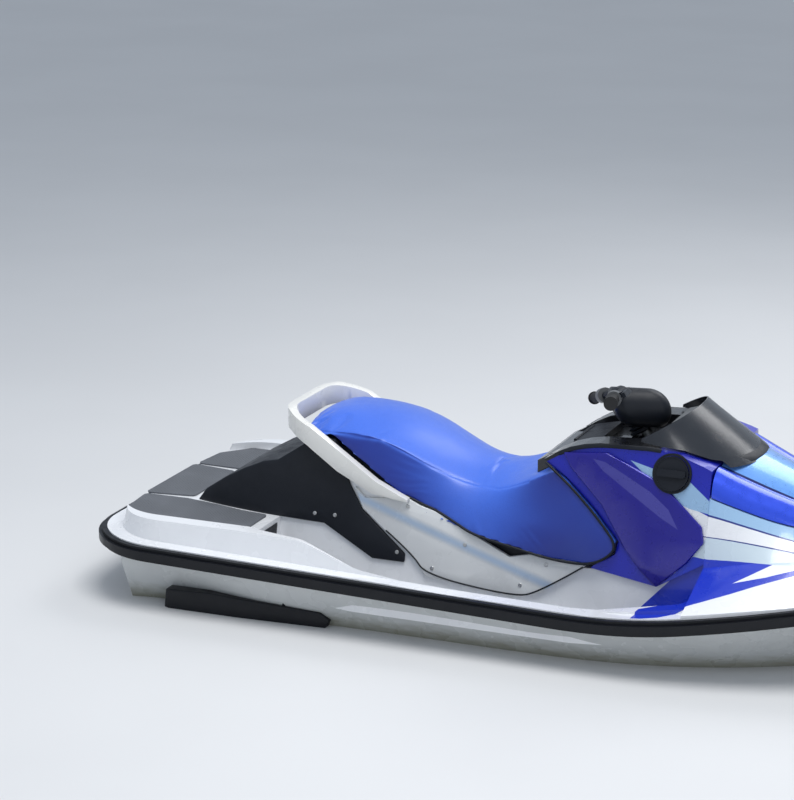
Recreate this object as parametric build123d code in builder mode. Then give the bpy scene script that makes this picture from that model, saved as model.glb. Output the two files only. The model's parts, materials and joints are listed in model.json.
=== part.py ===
"""Personal watercraft: sit-down three-seat jet boat with a raised seat, a wrap-round grab handle and a jet pump.

Millimetres. X runs forward to the bow, Y to port and Z up. The origin is on the waterline, amidships.
"""

import math
import os

from build123d import *

os.makedirs("parts", exist_ok=True)

# Overall sizes
LENGTH = 3120.0
BEAM = 1180.0
JOIN_X = 450.0  # where the fore deck begins
CUTTER = 900.0  # half width and height of the blocks that trim the lofts

# Gunwale bumper and the deck edge that it clips round
BUMPER_PROUD = 28.0
BUMPER_HEIGHT = 46.0
BUMPER_ROOT = 10.0
BUMPER_STEPS = [
    # proud of the deck edge, height
    (16, 46),
    (28, 24),
]
BUMPER_SPLIT_X = -1290.0
EDGE_HALF = BEAM / 2 - BUMPER_PROUD
STERN_X = -LENGTH / 2 + BUMPER_PROUD
NOSE_RADIUS = 100.0
NOSE_ANGLE = 27.0
STERN_RADIUS = 240.0
SHOULDER_RADIUS = 1450.0
NOSE_TIP_X = LENGTH / 2 - BUMPER_PROUD
NOSE_VERTEX_X = NOSE_TIP_X + NOSE_RADIUS * (1 / math.sin(math.radians(NOSE_ANGLE)) - 1)
SHOULDER_X = NOSE_VERTEX_X - EDGE_HALF / math.tan(math.radians(NOSE_ANGLE))

# Sheer line, where hull and deck are bonded: lowest amidships, rising to the bow
SHEER_LOW_X = 250.0
SHEER_LOW_Z = 150.0
SHEER_AFT_SLOPE = -0.0226
SHEER_FORE_SLOPE = 0.139
SHEER_RADIUS = 2500.0

# Lower hull
TRANSOM_X = -1400.0
HULL_STATIONS = [
    # x, keel z, chine y, chine z, side y at the sheer
    (TRANSOM_X, -264, 446, -46, 560),
    (-1000, -268, 448, -46, 560),
    (-600, -270, 448, -45, 560),
    (-200, -270, 442, -43, 560),
    (200, -269, 418, -36, 558),
    (550, -259, 335, -12, 520),
    (850, -220, 218, 34, 412),
    (1120, -118, 118, 100, 272),
    (1340, 40, 54, 180, 158),
    (1505, 212, 14, 262, 62),
]

# Deck edge, gunwale and rear platform
COAMING_TOP = 310.0
COAMING_FLANGE = 27.0
COAMING_INSET = 34.0
COAMING_BASE = 150.0
COAMING_TAPER = 14.0
COAMING_CHAMFER = 16.0
CREST_POINTS = [
    # x, z of the gunwale's crest
    (-LENGTH, 272),
    (-1000, 277),
    (-790, 272),
    (-590, 208),
    (-455, 192),
    (-300, 187),
    (180, 180),
    (LENGTH, 590),
]
CREST_RADIUS = 150.0
PLATFORM_Z = 250.0
PLATFORM_AFT_X = -1505.0
PLATFORM_HALF = 444.0
PLATFORM_CORNER = 190.0
PLATFORM_FRONT_X = -960.0

# Footwells, sunk through the deck on each side of the pedestal
WELL_FLOOR_Z = 82.0
WELL_WALL = 9.0
WELL_INNER_Y = 180.0
WELL_OUTER_Y = 512.0
WELL_AFT_X = -985.0
WELL_FORE_X = 432.0
WELL_FORE_Y = 440.0
WELL_CORNER = 40.0

# Flank of pedestal and console, a curved section that widens forwards
FLANK_BOTTOM_Z = 40.0
FLANK_MID_Z = 300.0
FLANK_TOP_Z = 680.0
FLANK_STATIONS = [
    # x, half width at the bottom, in the middle and at the top
    (-1320, 195, 150, 120),
    (-1000, 262, 214, 176),
    (-500, 288, 236, 196),
    (0, 300, 256, 208),
    (JOIN_X, 330, 300, 214),
]
PEDESTAL_POINTS = [
    (-1270, 60),
    (-1270, 270),
    (-1203, 330),
    (-1129, 372),
    (-1056, 404),
    (-1000, 416),
    (-870, 426),
    (-713, 430),
    (-576, 345),
    (-440, 290),
    (-305, 240),
    (-171, 214),
    (-39, 216),
    (91, 228),
    (200, 262),
    (JOIN_X, 330),
    (JOIN_X, 60),
]
CORE_INSET = 62.0
CORE_POINTS = [
    (-915, 60),
    (-915, 452),
    (-850, 482),
    (-650, 478),
    (-490, 420),
    (-250, 368),
    (-120, 415),
    (0, 460),
    (100, 490),
    (JOIN_X, 520),
    (JOIN_X, 60),
]
SEAT_BASE_POINTS = [
    (-925, 420),
    (-925, 486),
    (-850, 508),
    (-740, 490),
    (-576, 410),
    (-440, 350),
    (-305, 316),
    (-171, 296),
    (-39, 274),
    (60, 268),
    (60, 200),
    (-925, 200),
]
SEAT_BASE_INSET = 12.0

# Covers and panels over the pedestal
COVER_THICK = 10.0
COVER_POINTS = [
    (-1310, 250),
    (-1278, 292),
    (-1203, 343),
    (-1129, 385),
    (-1056, 418),
    (-1002, 431),
    (-870, 520),
    (-800, 520),
    (-737, 381),
    (-692, 310),
    (-537, 190),
    (-537, 163),
    (-647, 162),
    (-824, 250),
]
PANEL_THICK = 14.0
PANEL_POINTS = [
    (-720, 382),
    (-683, 350),
    (-536, 367),
    (-495, 349),
    (-440, 336),
    (-184, 228),
    (-100, 250),
    (-29, 270),
    (69, 235),
    (-76, 132),
    (-158, 107),
    (-461, 133),
    (-512, 192),
    (-600, 250),
    (-690, 318),
]
KNEE_THICK = 22.0
KNEE_POINTS = [
    (-24, 575),
    (3, 530),
    (110, 430),
    (189, 315),
    (250, 250),
    (303, 209),
    (394, 294),
    (446, 364),
    (436, 410),
    (300, 520),
    (120, 590),
]
COWL_THICK = 12.0
COWL_HOLE_GAP = 8.0
COWL_POINTS = [
    (-130, 230),
    (-130, 520),
    (-93, 541),
    (-49, 570),
    (-6, 592),
    (40, 606),
    (90, 615),
    (218, 621),
    (347, 607),
    (427, 582),
    (JOIN_X, 573),
    (JOIN_X, 300),
    (303, 209),
    (69, 235),
]
FLAP_HALF = 172.0
FLAP_POINTS = [
    (-93, 546),
    (-11, 498),
    (87, 414),
    (171, 327),
    (162, 285),
    (92, 240),
    (60, 190),
    (-200, 190),
    (-200, 546),
]
VALLEY_HALF = 150.0
VALLEY_POINTS = [
    (-200, 505),
    (-60, 545),
    (60, 572),
    (200, 590),
    (JOIN_X + 20, 590),
    (JOIN_X + 20, 800),
    (-200, 800),
]
SEAM = 2.0

# Seat: one long cushion with a raised rear part and flaps beside the console
SEAT_STATIONS = [
    # x, side y at the bottom and in the middle, shoulder y and z, crown z
    (-940, 282, 234, 188, 536, 566),
    (-850, 288, 242, 202, 548, 580),
    (-640, 300, 250, 204, 538, 572),
    (-480, 306, 256, 196, 470, 508),
    (-250, 318, 270, 196, 424, 458),
    (-110, 326, 280, 230, 488, 512),
    (60, 338, 292, 258, 545, 590),
    (185, 346, 300, 266, 545, 590),
]
SEAT_POINTS = [
    (-935, 500),
    (-935, 620),
    (-40, 620),
    (-93, 544),
    (-11, 496),
    (87, 412),
    (169, 326),
    (160, 286),
    (91, 242),
    (-39, 241),
    (-171, 263),
    (-305, 282),
    (-440, 315),
    (-576, 374),
    (-713, 463),
    (-816, 530),
]

# Grab handle behind the seat
HANDLE_OUTER_Y = 256.0
HANDLE_AFT_Y = 236.0
HANDLE_WIDTH = 28.0
HANDLE_AFT_X = -1000.0
HANDLE_CORNER = 150.0
HANDLE_POINTS = [
    (-1030, 540),
    (-1030, 600),
    (-965, 597),
    (-870, 562),
    (-750, 486),
    (-640, 415),
    (-530, 368),
    (-530, 360),
    (-650, 372),
    (-775, 430),
    (-880, 500),
    (-950, 532),
]

# Fore deck and hood, one loft that is split along the hood seam
NOSE_STATIONS = [
    # x, lip y, then y and z of flank, hood edge, shoulder and groove, crown z
    (JOIN_X, 572, 318, 290, 270, 496, 240, 562, 168, 566, 612),
    (600, 526, 328, 326, 252, 450, 216, 500, 150, 506, 550),
    (800, 440, 300, 350, 205, 400, 174, 438, 118, 444, 480),
    (1050, 305, 215, 352, 146, 372, 124, 396, 84, 402, 430),
    (1300, 178, 125, 350, 86, 358, 73, 372, 50, 376, 392),
    (1515, 50, 36, 352, 25, 354, 21, 358, 14, 359, 362),
]
HOOD_SEAM_POINTS = [(380, 520), (640, 438), (820, 400), (1050, 373), (1500, 350)]
HOOD_SEAM_RADIUS = 900.0
HOOD_GAP = 5.0
HOOD_WALL = 8.0
HOOD_CROWN_WALL = 26.0
HOOD_AFT_X = JOIN_X + HOOD_GAP
HOOD_FORE_X = 1430.0
HOOD_HINGE_X = 1436.0
HOOD_HINGE_Z = 386.0
HOOD_PIN = 4.0
KNUCKLE_RADIUS = 8.0
KNUCKLE_HALF = 24.0
LUG_HALF = 32.0

# Windshield, fixed to the hood
SHIELD_WALL = 6.0
SHIELD_STATIONS = [
    # z, aft x, half width aft, fore x
    (460, 200, 256, 700),
    (740, 226, 190, 300),
]
SHIELD_POINTS = [
    (205, 632),
    (346, 712),
    (440, 712),
    (600, 566),
    (484, 566),
    (HOOD_AFT_X + 1, 584),
    (427, 590),
    (347, 615),
    (218, 629),
    (205, 629),
]

# Front storage bin
BIN_AFT_X = 640.0
BIN_FORE_X = 1040.0
BIN_HALF = 110.0
BIN_FLOOR_Z = 130.0
BIN_RIM_Z = 350.0
BIN_WALL = 5.0

# Engine bay and block
BAY_AFT_X = -420.0
BAY_FORE_X = 300.0
BAY_HALF = 205.0
BAY_FLOOR_Z = -118.0
BAY_TOP_Z = 195.0
ENGINE_LENGTH = 560.0
ENGINE_WIDTH = 330.0
ENGINE_HEIGHT = 290.0
ENGINE_AFT_X = -405.0

# Jet pump
PUMP_Z = -98.0
TUNNEL_RADIUS = 122.0
TUNNEL_FRONT_X = -1120.0
FLANGE_RADIUS = 116.0
FLANGE_THICK = 10.0
PUMP_AFT_X = -1340.0
PUMP_RADIUS = 90.0
PUMP_BORE = 78.0
VENTURI_END_X = -1425.0
VENTURI_RADIUS = 54.0
VENTURI_WALL = 8.0
HUB_RADIUS = 34.0
HUB_FORE_X = -1270.0
HUB_TAIL_X = -1378.0
VANE_COUNT = 5
VANE_THICK = 6.0
IMPELLER_RADIUS = 75.0
IMPELLER_AFT_X = -1262.0
IMPELLER_LENGTH = 90.0
BLADE_COUNT = 4
BLADE_THICK = 7.0
BLADE_PITCH = 38.0
BLADE_CHORD = 96.0
SHAFT_RADIUS = 14.0
SHAFT_CLEARANCE = 0.05
SHAFT_AFT_X = -1325.0
SHAFT_FORE_X = -411.0
INTAKE_ROOF_X = -1000.0
INTAKE_FORE_X = -600.0
INTAKE_AFT_X = -900.0
INTAKE_LIP_X = -1040.0
INTAKE_HALF = 78.0
GRATE_AFT_X = -985.0
GRATE_FORE_X = -735.0
GRATE_Z = -232.0
GRATE_BARS = 3
GRATE_RADIUS = 6.0
PLATE_TOP_Z = -193.0
PLATE_THICK = 10.0
PLATE_AFT_X = -1440.0
PLATE_FORE_X = TUNNEL_FRONT_X - FLANGE_THICK - 2

# Steering nozzle and reverse bucket
NOZZLE_PIVOT_X = -1418.0
NOZZLE_FORE_X = -1444.0
NOZZLE_END_X = -1500.0
NOZZLE_MOUTH = 66.0
NOZZLE_LIP = 77.0
EAR_LOW = 74.0
EAR_THICK = 8.0
EAR_RADIUS = 12.0
NOZZLE_EXIT = 44.0
NOZZLE_WALL = 5.0
NOZZLE_TURN = -20.0
NOZZLE_PIN = 7.0
PIN_INNER = 57.0
BUCKET_PIVOT_X = -1368.0
BUCKET_INNER = 150.0
BUCKET_THICK = 8.0
BUCKET_HALF = 112.0
BUCKET_LOW = 26.0
BUCKET_HIGH = 72.0
BUCKET_PIN = 8.0
BUCKET_PIN_INNER = 82.0
BOSS_RADIUS = 18.0
BOSS_OUTER = 99.0

# Steering
STEER_X = 150.0
STEER_Z = 620.0
STEER_LEAN = 33.0
STEER_TURN = 26.0
STEM_RADIUS = 16.0
STEM_DEPTH = 170.0
BAR_HEIGHT = 126.0
BAR_RADIUS = 11.0
BAR_SWEEP = 70.0
BAR_HALF = 374.0
BAR_CENTER = 60.0
BAR_BEND = 170.0
CLAMP_THICK = 14.0
GRIP_RADIUS = 17.0
GRIP_LENGTH = 130.0
GRIP_CAP = 6.0
GRIP_FLANGE = 21.0
HOUSING_RADIUS = 24.0
HOUSING_LENGTH = 46.0
LEVER_THICK = 16.0
PAD_CORNER = 36.0
PAD_SECTIONS = [
    # z, middle x, length and width, with the handlebar straight ahead
    (614, 152, 92, 104),
    (648, 148, 166, 186),
    (692, 135, 180, 194),
    (732, 112, 124, 132),
]

# Fuel filler
FILLER_X = 328.0
FILLER_Y = 256.0
FILLER_Z = 553.0
FILLER_TILT = 16.0
CAP_RADIUS = 52.0
CAP_PROUD = 10.0
CAP_GRIP = 10.0
BEZEL_RADIUS = 61.0
BEZEL_PROUD = 5.0

# Glove box in the cockpit trough, with its lid, and the instrument pod
LID_AFT_X = -38.0
LID_FORE_X = 53.0
LID_HALF = 112.0
LID_THICK = 22.0
LID_GAP = 0.7
LID_KNUCKLE = 5.0
GLOVE_AFT_X = -30.0
GLOVE_FORE_X = 50.0
GLOVE_HALF = 88.0
GLOVE_FLOOR_Z = 486.0
GLOVE_WALL = 4.0
POD_HALF = 96.0
POD_POINTS = [(262, 585), (262, 640), (270, 662), (338, 682), (352, 640), (352, 585)]

# Towing eyes
BOW_EYE_X = 1398.0
BOW_EYE_Z = 110.0
STERN_EYE_Y = 300.0
STERN_EYE_Z = 90.0
EYE_HALF = 22.0
EYE_REACH = 34.0
EYE_WIRE = 6.0

# Mats
MAT_THICK = 5.0
MAT_CORNER = 16.0

# Sponsons
SPONSON_POINTS = [(-1262, -30), (-1250, 62), (-1100, 68), (-720, 48), (-690, 24), (-720, -30)]
SPONSON_PLAN = [(-1262, 430), (-1262, 518), (-1240, 528), (-1000, 525), (-690, 505), (-690, 430)]


def sheer_z(x):
    """Height of the sheer line at x, without its rounded low point."""
    slope = SHEER_AFT_SLOPE if x < SHEER_LOW_X else SHEER_FORE_SLOPE
    return SHEER_LOW_Z + slope * (x - SHEER_LOW_X)


def deck_outline(grow):
    """Plan shape of the deck edge, grown by a distance."""
    with BuildSketch() as outline:
        with BuildLine():
            Polyline(
                (STERN_X, EDGE_HALF),
                (SHOULDER_X, EDGE_HALF),
                (NOSE_VERTEX_X, 0),
                (SHOULDER_X, -EDGE_HALF),
                (STERN_X, -EDGE_HALF),
                close=True,
            )
        make_face()
        fillet(outline.vertices().group_by(Axis.X)[0], STERN_RADIUS)
        fillet(outline.vertices().sort_by(Axis.X)[-1], NOSE_RADIUS)
        shoulders = outline.vertices().filter_by(lambda v: abs(v.X - SHOULDER_X) < 1)
        fillet(shoulders, SHOULDER_RADIUS)
        if grow:
            offset(amount=grow)
    return outline.sketch


def above_sheer(rise):
    """Block above the sheer line, raised by a distance."""
    with BuildPart() as block:
        with BuildSketch(Plane.XZ):
            with BuildLine():
                FilletPolyline(
                    (-LENGTH, sheer_z(-LENGTH) + rise),
                    (SHEER_LOW_X, SHEER_LOW_Z + rise),
                    (LENGTH, sheer_z(LENGTH) + rise),
                    radius=SHEER_RADIUS,
                )
                Polyline(
                    (LENGTH, sheer_z(LENGTH) + rise),
                    (LENGTH, CUTTER + sheer_z(LENGTH)),
                    (-LENGTH, CUTTER + sheer_z(LENGTH)),
                    (-LENGTH, sheer_z(-LENGTH) + rise),
                )
            make_face()
        extrude(amount=CUTTER, both=True)
    return block.part


def side_slab(points, half=CUTTER):
    """Slab with an outline in the side view, cut by straight lines, on both sides of the middle."""
    with BuildPart() as slab:
        with BuildSketch(Plane.XZ):
            with BuildLine():
                Polyline(*points, close=True)
            make_face()
        extrude(amount=half, both=True)
    return slab.part


def round_slab(points, radius, half=CUTTER):
    """Slab with a side outline whose corners are rounded."""
    with BuildPart() as slab:
        with BuildSketch(Plane.XZ) as sketch:
            with BuildLine():
                Polyline(*points, close=True)
            make_face()
            fillet(sketch.vertices(), radius)
        extrude(amount=half, both=True)
    return slab.part


def flank(grow, bottom=FLANK_BOTTOM_Z, top=FLANK_TOP_Z):
    """Pedestal and console body, grown sideways by a distance."""
    with BuildPart() as body:
        for x, low, mid, high in FLANK_STATIONS:
            with BuildSketch(Plane.YZ.offset(x)):
                with BuildLine():
                    ThreePointArc((low + grow, bottom), (mid + grow, FLANK_MID_Z), (high + grow, top))
                    Line((high + grow, top), (-high - grow, top))
                    ThreePointArc(
                        (-high - grow, top), (-mid - grow, FLANK_MID_Z), (-low - grow, bottom)
                    )
                    Line((-low - grow, bottom), (low + grow, bottom))
                make_face()
        loft()
    return body.part


def write(part, name):
    """Labels a finished piece and writes it to its own file."""
    part.label = name
    export_step(part, f"parts/{name}.step")


def starboard(part):
    """The half of a symmetrical part on the starboard side."""
    return split(part, bisect_by=Plane.XZ, keep=Keep.TOP)


def port(part):
    """The half of a symmetrical part on the port side."""
    return split(part, bisect_by=Plane.XZ, keep=Keep.BOTTOM)


# Blanks that the hull, deck and bumper share
outline_edge = deck_outline(0)
outline_root = deck_outline(-BUMPER_ROOT)
outline_proud = deck_outline(BUMPER_PROUD)
topside = above_sheer(0)

with BuildPart() as edge_prism:
    with BuildSketch(Plane.XY.offset(-CUTTER)):
        add(outline_edge)
    extrude(amount=2 * CUTTER)

with BuildPart() as coaming:
    with BuildSketch(Plane.XY.offset(80)):
        add(outline_edge)
        with Locations((JOIN_X + LENGTH, 0)):
            Rectangle(2 * LENGTH, 2 * BEAM, mode=Mode.SUBTRACT)
    extrude(amount=COAMING_TOP - 80)
    add(above_sheer(COAMING_FLANGE), mode=Mode.SUBTRACT)
    with BuildSketch(Plane.XY.offset(COAMING_BASE)):
        add(deck_outline(-COAMING_INSET))
        with Locations((JOIN_X + 60 + LENGTH, 0)):
            Rectangle(2 * LENGTH, 2 * BEAM, mode=Mode.SUBTRACT)
    extrude(amount=COAMING_TOP - COAMING_BASE, taper=COAMING_TAPER)
    split(bisect_by=Plane.YZ.offset(JOIN_X), keep=Keep.BOTTOM)
    rim = coaming.edges().group_by(Axis.Z)[-1].filter_by(lambda e: e.center().X < JOIN_X - 1)
    chamfer(rim, length=COAMING_CHAMFER)

with BuildPart() as crest:
    with BuildSketch(Plane.XZ):
        with BuildLine():
            FilletPolyline(*CREST_POINTS, radius=CREST_RADIUS)
            Polyline(CREST_POINTS[-1], (LENGTH, -CUTTER), (-LENGTH, -CUTTER), CREST_POINTS[0])
        make_face()
    extrude(amount=CUTTER, both=True)

with BuildPart() as nose:
    for x, lip_y, flank_y, flank_z, edge_y, edge_z, *upper in NOSE_STATIONS:
        shoulder_y, shoulder_z, groove_y, groove_z, crown_z = upper
        level = sheer_z(x)
        with BuildSketch(Plane.YZ.offset(x)):
            with BuildLine():
                Polyline(
                    (edge_y, edge_z),
                    (flank_y, flank_z),
                    (lip_y, level + 24),
                    (lip_y + 4, level - 60),
                    (-lip_y - 4, level - 60),
                    (-lip_y, level + 24),
                    (-flank_y, flank_z),
                    (-edge_y, edge_z),
                )
                ThreePointArc((-edge_y, edge_z), (-shoulder_y, shoulder_z), (-groove_y, groove_z))
                ThreePointArc((-groove_y, groove_z), (0, crown_z), (groove_y, groove_z))
                ThreePointArc((groove_y, groove_z), (shoulder_y, shoulder_z), (edge_y, edge_z))
            make_face()
    loft()

with BuildPart() as nose_inside:
    for x, lip_y, flank_y, flank_z, edge_y, edge_z, *upper in NOSE_STATIONS:
        level = sheer_z(x)
        low_z = edge_z - HOOD_WALL
        high_z = max(upper[-1] - HOOD_CROWN_WALL, low_z + 4)
        with BuildSketch(Plane.YZ.offset(x)):
            with BuildLine():
                Polyline(
                    (max(edge_y - HOOD_WALL, 8), low_z),
                    (max(flank_y - HOOD_WALL, 12), flank_z - HOOD_WALL / 2),
                    (max(lip_y - HOOD_WALL, 18), level + 20),
                    (max(lip_y - HOOD_WALL, 18), level - 60),
                    (-max(lip_y - HOOD_WALL, 18), level - 60),
                    (-max(lip_y - HOOD_WALL, 18), level + 20),
                    (-max(flank_y - HOOD_WALL, 12), flank_z - HOOD_WALL / 2),
                    (-max(edge_y - HOOD_WALL, 8), low_z),
                )
                ThreePointArc(
                    (-max(edge_y - HOOD_WALL, 8), low_z),
                    (0, high_z),
                    (max(edge_y - HOOD_WALL, 8), low_z),
                )
            make_face()
    loft()


# Hood seam in the side view: the hood is above it, the fore deck below
def hood_zone(drop, aft_x, fore_x):
    """Block above the hood seam, lowered by a distance, between two stations."""
    seam = [(x, z - drop) for x, z in HOOD_SEAM_POINTS]
    with BuildPart() as block:
        with BuildSketch(Plane.XZ) as sketch:
            with BuildLine():
                FilletPolyline(*seam, radius=HOOD_SEAM_RADIUS)
                Polyline(
                    seam[-1], (HOOD_SEAM_POINTS[-1][0], CUTTER), (HOOD_SEAM_POINTS[0][0], CUTTER), seam[0]
                )
            make_face()
            with Locations((aft_x - LENGTH, 0)):
                Rectangle(2 * LENGTH, 4 * CUTTER, mode=Mode.SUBTRACT)
            with Locations((fore_x + LENGTH, 0)):
                Rectangle(2 * LENGTH, 4 * CUTTER, mode=Mode.SUBTRACT)
        extrude(amount=CUTTER, both=True)
    return block.part


core_flank = flank(0)

# Bumper: a proud band round the deck edge
with BuildPart() as bumper_ring:
    with BuildSketch(Plane.XY.offset(-CUTTER)):
        add(outline_proud)
        add(outline_root, mode=Mode.SUBTRACT)
    extrude(amount=2 * CUTTER)
    add(above_sheer(-BUMPER_HEIGHT / 2), mode=Mode.INTERSECT)
    add(above_sheer(BUMPER_HEIGHT / 2), mode=Mode.SUBTRACT)

with BuildPart() as well_prism:
    with BuildSketch(Plane.XY.offset(WELL_FLOOR_Z)) as wells:
        with BuildLine():
            Polyline(
                (WELL_AFT_X, WELL_INNER_Y),
                (WELL_AFT_X, WELL_OUTER_Y - 60),
                (WELL_AFT_X + 380, WELL_OUTER_Y),
                (WELL_FORE_X - 330, WELL_OUTER_Y),
                (WELL_FORE_X, WELL_FORE_Y),
                (WELL_FORE_X, WELL_INNER_Y),
                close=True,
            )
        make_face()
        fillet(wells.vertices().filter_by(lambda v: v.Y > WELL_INNER_Y + 1), WELL_CORNER)
        mirror(about=Plane.XZ)
    extrude(amount=CUTTER)

with BuildPart() as well_tub:
    with BuildSketch(Plane.XY.offset(WELL_FLOOR_Z - WELL_WALL)):
        add(offset(wells.sketch, amount=WELL_WALL))
    extrude(amount=CUTTER)
    add(above_sheer(0), mode=Mode.SUBTRACT)

with BuildPart() as bay:
    with Locations(((BAY_AFT_X + BAY_FORE_X) / 2, 0, (BAY_FLOOR_Z + BAY_TOP_Z) / 2)):
        Box(BAY_FORE_X - BAY_AFT_X, 2 * BAY_HALF, BAY_TOP_Z - BAY_FLOOR_Z)

with BuildPart() as bin_pocket:
    with Locations(((BIN_AFT_X + BIN_FORE_X) / 2, 0, (BIN_FLOOR_Z + CUTTER) / 2)):
        Box(BIN_FORE_X - BIN_AFT_X, 2 * BIN_HALF, CUTTER - BIN_FLOOR_Z)

# Lower hull: a planing vee with hard chines, the pump tunnel, the intake and the engine bay
with BuildPart() as hull_shell:
    for x, keel_z, chine_y, chine_z, side_y in HULL_STATIONS:
        level = sheer_z(x)
        with BuildSketch(Plane.YZ.offset(x)):
            with BuildLine():
                Polyline(
                    (0, keel_z),
                    (chine_y, chine_z),
                    (side_y, level),
                    (side_y + 6, level + 60),
                    (-side_y - 6, level + 60),
                    (-side_y, level),
                    (-chine_y, chine_z),
                    close=True,
                )
            make_face()
    loft()
    add(edge_prism.part, mode=Mode.INTERSECT)
    add(topside, mode=Mode.SUBTRACT)
    add(bumper_ring.part, mode=Mode.SUBTRACT)
    add(well_tub.part, mode=Mode.SUBTRACT)
    add(bin_pocket.part, mode=Mode.SUBTRACT)
    add(bay.part, mode=Mode.SUBTRACT)
    # Pump tunnel and its slot through the bottom
    with BuildSketch(Plane.YZ.offset(TRANSOM_X - 10)):
        with Locations((0, PUMP_Z)):
            Circle(TUNNEL_RADIUS)
    extrude(amount=TUNNEL_FRONT_X - TRANSOM_X + 10, mode=Mode.SUBTRACT)
    with BuildSketch(Plane.XY.offset(-400)):
        with Locations(((TRANSOM_X + TUNNEL_FRONT_X) / 2 - 5, 0)):
            Rectangle(TUNNEL_FRONT_X - TRANSOM_X + 10, 2 * TUNNEL_RADIUS)
    extrude(amount=400 + PUMP_Z, mode=Mode.SUBTRACT)
    # Intake duct, sloping up to the pump
    with BuildSketch(Plane.XZ):
        with BuildLine():
            Polyline(
                (TUNNEL_FRONT_X - 1, PUMP_Z + PUMP_BORE),
                (INTAKE_ROOF_X, PUMP_Z + PUMP_BORE),
                (INTAKE_FORE_X, -320),
                (INTAKE_AFT_X, -320),
                (INTAKE_LIP_X, PUMP_Z - PUMP_BORE),
                (TUNNEL_FRONT_X - 1, PUMP_Z - PUMP_BORE),
                close=True,
            )
        make_face()
    extrude(amount=INTAKE_HALF, both=True, mode=Mode.SUBTRACT)
    # Drive shaft bearing through the keelson
    with BuildSketch(Plane.YZ.offset(INTAKE_ROOF_X)):
        with Locations((0, PUMP_Z)):
            Circle(SHAFT_RADIUS + SHAFT_CLEARANCE)
    extrude(amount=BAY_AFT_X + 20 - INTAKE_ROOF_X, mode=Mode.SUBTRACT)
write(hull_shell.part, "hull_shell")

# Pedestal under the seat and console
with BuildPart() as pedestal:
    add(core_flank)
    add(side_slab(PEDESTAL_POINTS), mode=Mode.INTERSECT)
    add(topside, mode=Mode.INTERSECT)

with BuildPart() as seat_core:
    add(flank(-CORE_INSET))
    add(side_slab(CORE_POINTS), mode=Mode.INTERSECT)
    add(topside, mode=Mode.INTERSECT)

with BuildPart() as well_void:
    add(well_prism.part)
    add(core_flank, mode=Mode.SUBTRACT)

# Steering axis, leaning aft
lean = math.radians(STEER_LEAN)
steering = Plane(
    origin=(STEER_X, 0, STEER_Z),
    x_dir=(math.cos(lean), 0, math.sin(lean)),
    z_dir=(-math.sin(lean), 0, math.cos(lean)),
)

# Deck moulding: platform, coaming, footwells, pedestal and fore deck in one
with BuildPart() as deck_shell:
    add(coaming.part)
    add(crest.part, mode=Mode.INTERSECT)
    # Sunken rear platform
    with BuildSketch(Plane.XY.offset(PLATFORM_Z)) as platform:
        with Locations(((PLATFORM_AFT_X + PLATFORM_FRONT_X) / 2, 0)):
            Rectangle(PLATFORM_FRONT_X - PLATFORM_AFT_X, 2 * PLATFORM_HALF)
        fillet(platform.vertices().group_by(Axis.X)[0], PLATFORM_CORNER)
    extrude(amount=CUTTER, mode=Mode.SUBTRACT)
    add(topside, mode=Mode.INTERSECT)
    add(nose.part.intersect(topside))
    add(hood_zone(HOOD_GAP, HOOD_AFT_X - HOOD_GAP, HOOD_FORE_X + HOOD_GAP), mode=Mode.SUBTRACT)
    add(edge_prism.part, mode=Mode.INTERSECT)
    add(bumper_ring.part, mode=Mode.SUBTRACT)
    add(well_tub.part)
    add(well_void.part, mode=Mode.SUBTRACT)
    add(pedestal.part)
    add(seat_core.part)
    add(bay.part, mode=Mode.SUBTRACT)
    add(bin_pocket.part, mode=Mode.SUBTRACT)
    with BuildSketch(steering.offset(-STEM_DEPTH)):
        Circle(STEM_RADIUS + SHAFT_CLEARANCE)
    extrude(amount=400, mode=Mode.SUBTRACT)
write(deck_shell.part, "deck_shell")

# Bumper with a raised rubbing rib, in a stern piece and a strip on each side
with BuildPart() as bumper:
    for proud, height in BUMPER_STEPS:
        with BuildPart(mode=Mode.ADD):
            with BuildSketch(Plane.XY.offset(-CUTTER)):
                add(deck_outline(proud))
                add(outline_root, mode=Mode.SUBTRACT)
            extrude(amount=2 * CUTTER)
            add(above_sheer(-height / 2), mode=Mode.INTERSECT)
            add(above_sheer(height / 2), mode=Mode.SUBTRACT)

with BuildPart() as bumper_stern:
    add(bumper.part)
    split(bisect_by=Plane.YZ.offset(BUMPER_SPLIT_X), keep=Keep.BOTTOM)
write(bumper_stern.part, "bumper_stern")

with BuildPart() as bumper_sides:
    add(bumper.part)
    split(bisect_by=Plane.YZ.offset(BUMPER_SPLIT_X), keep=Keep.TOP)
write(starboard(bumper_sides.part), "bumper_starboard")
write(port(bumper_sides.part), "bumper_port")

# Black hump cover on the platform, behind and beside the seat
with BuildPart() as rear_cover:
    add(flank(COVER_THICK))
    add(side_slab(COVER_POINTS), mode=Mode.INTERSECT)
    add(deck_shell.part, mode=Mode.SUBTRACT)
    add(hull_shell.part, mode=Mode.SUBTRACT)
write(rear_cover.part, "rear_cover")

# Black plinth that the cushion sits on
with BuildPart() as seat_base:
    add(flank(-SEAT_BASE_INSET))
    add(side_slab(SEAT_BASE_POINTS), mode=Mode.INTERSECT)
    add(deck_shell.part, mode=Mode.SUBTRACT)
    add(rear_cover.part, mode=Mode.SUBTRACT)

# Glove box, an open tray that stands in the cowl
glove_slope = math.atan2(VALLEY_POINTS[2][1] - VALLEY_POINTS[1][1], VALLEY_POINTS[2][0] - VALLEY_POINTS[1][0])


def valley_z(x):
    """Height of the cockpit trough's floor at x, beside the glove box."""
    return VALLEY_POINTS[1][1] + math.tan(glove_slope) * (x - VALLEY_POINTS[1][0])


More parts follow.
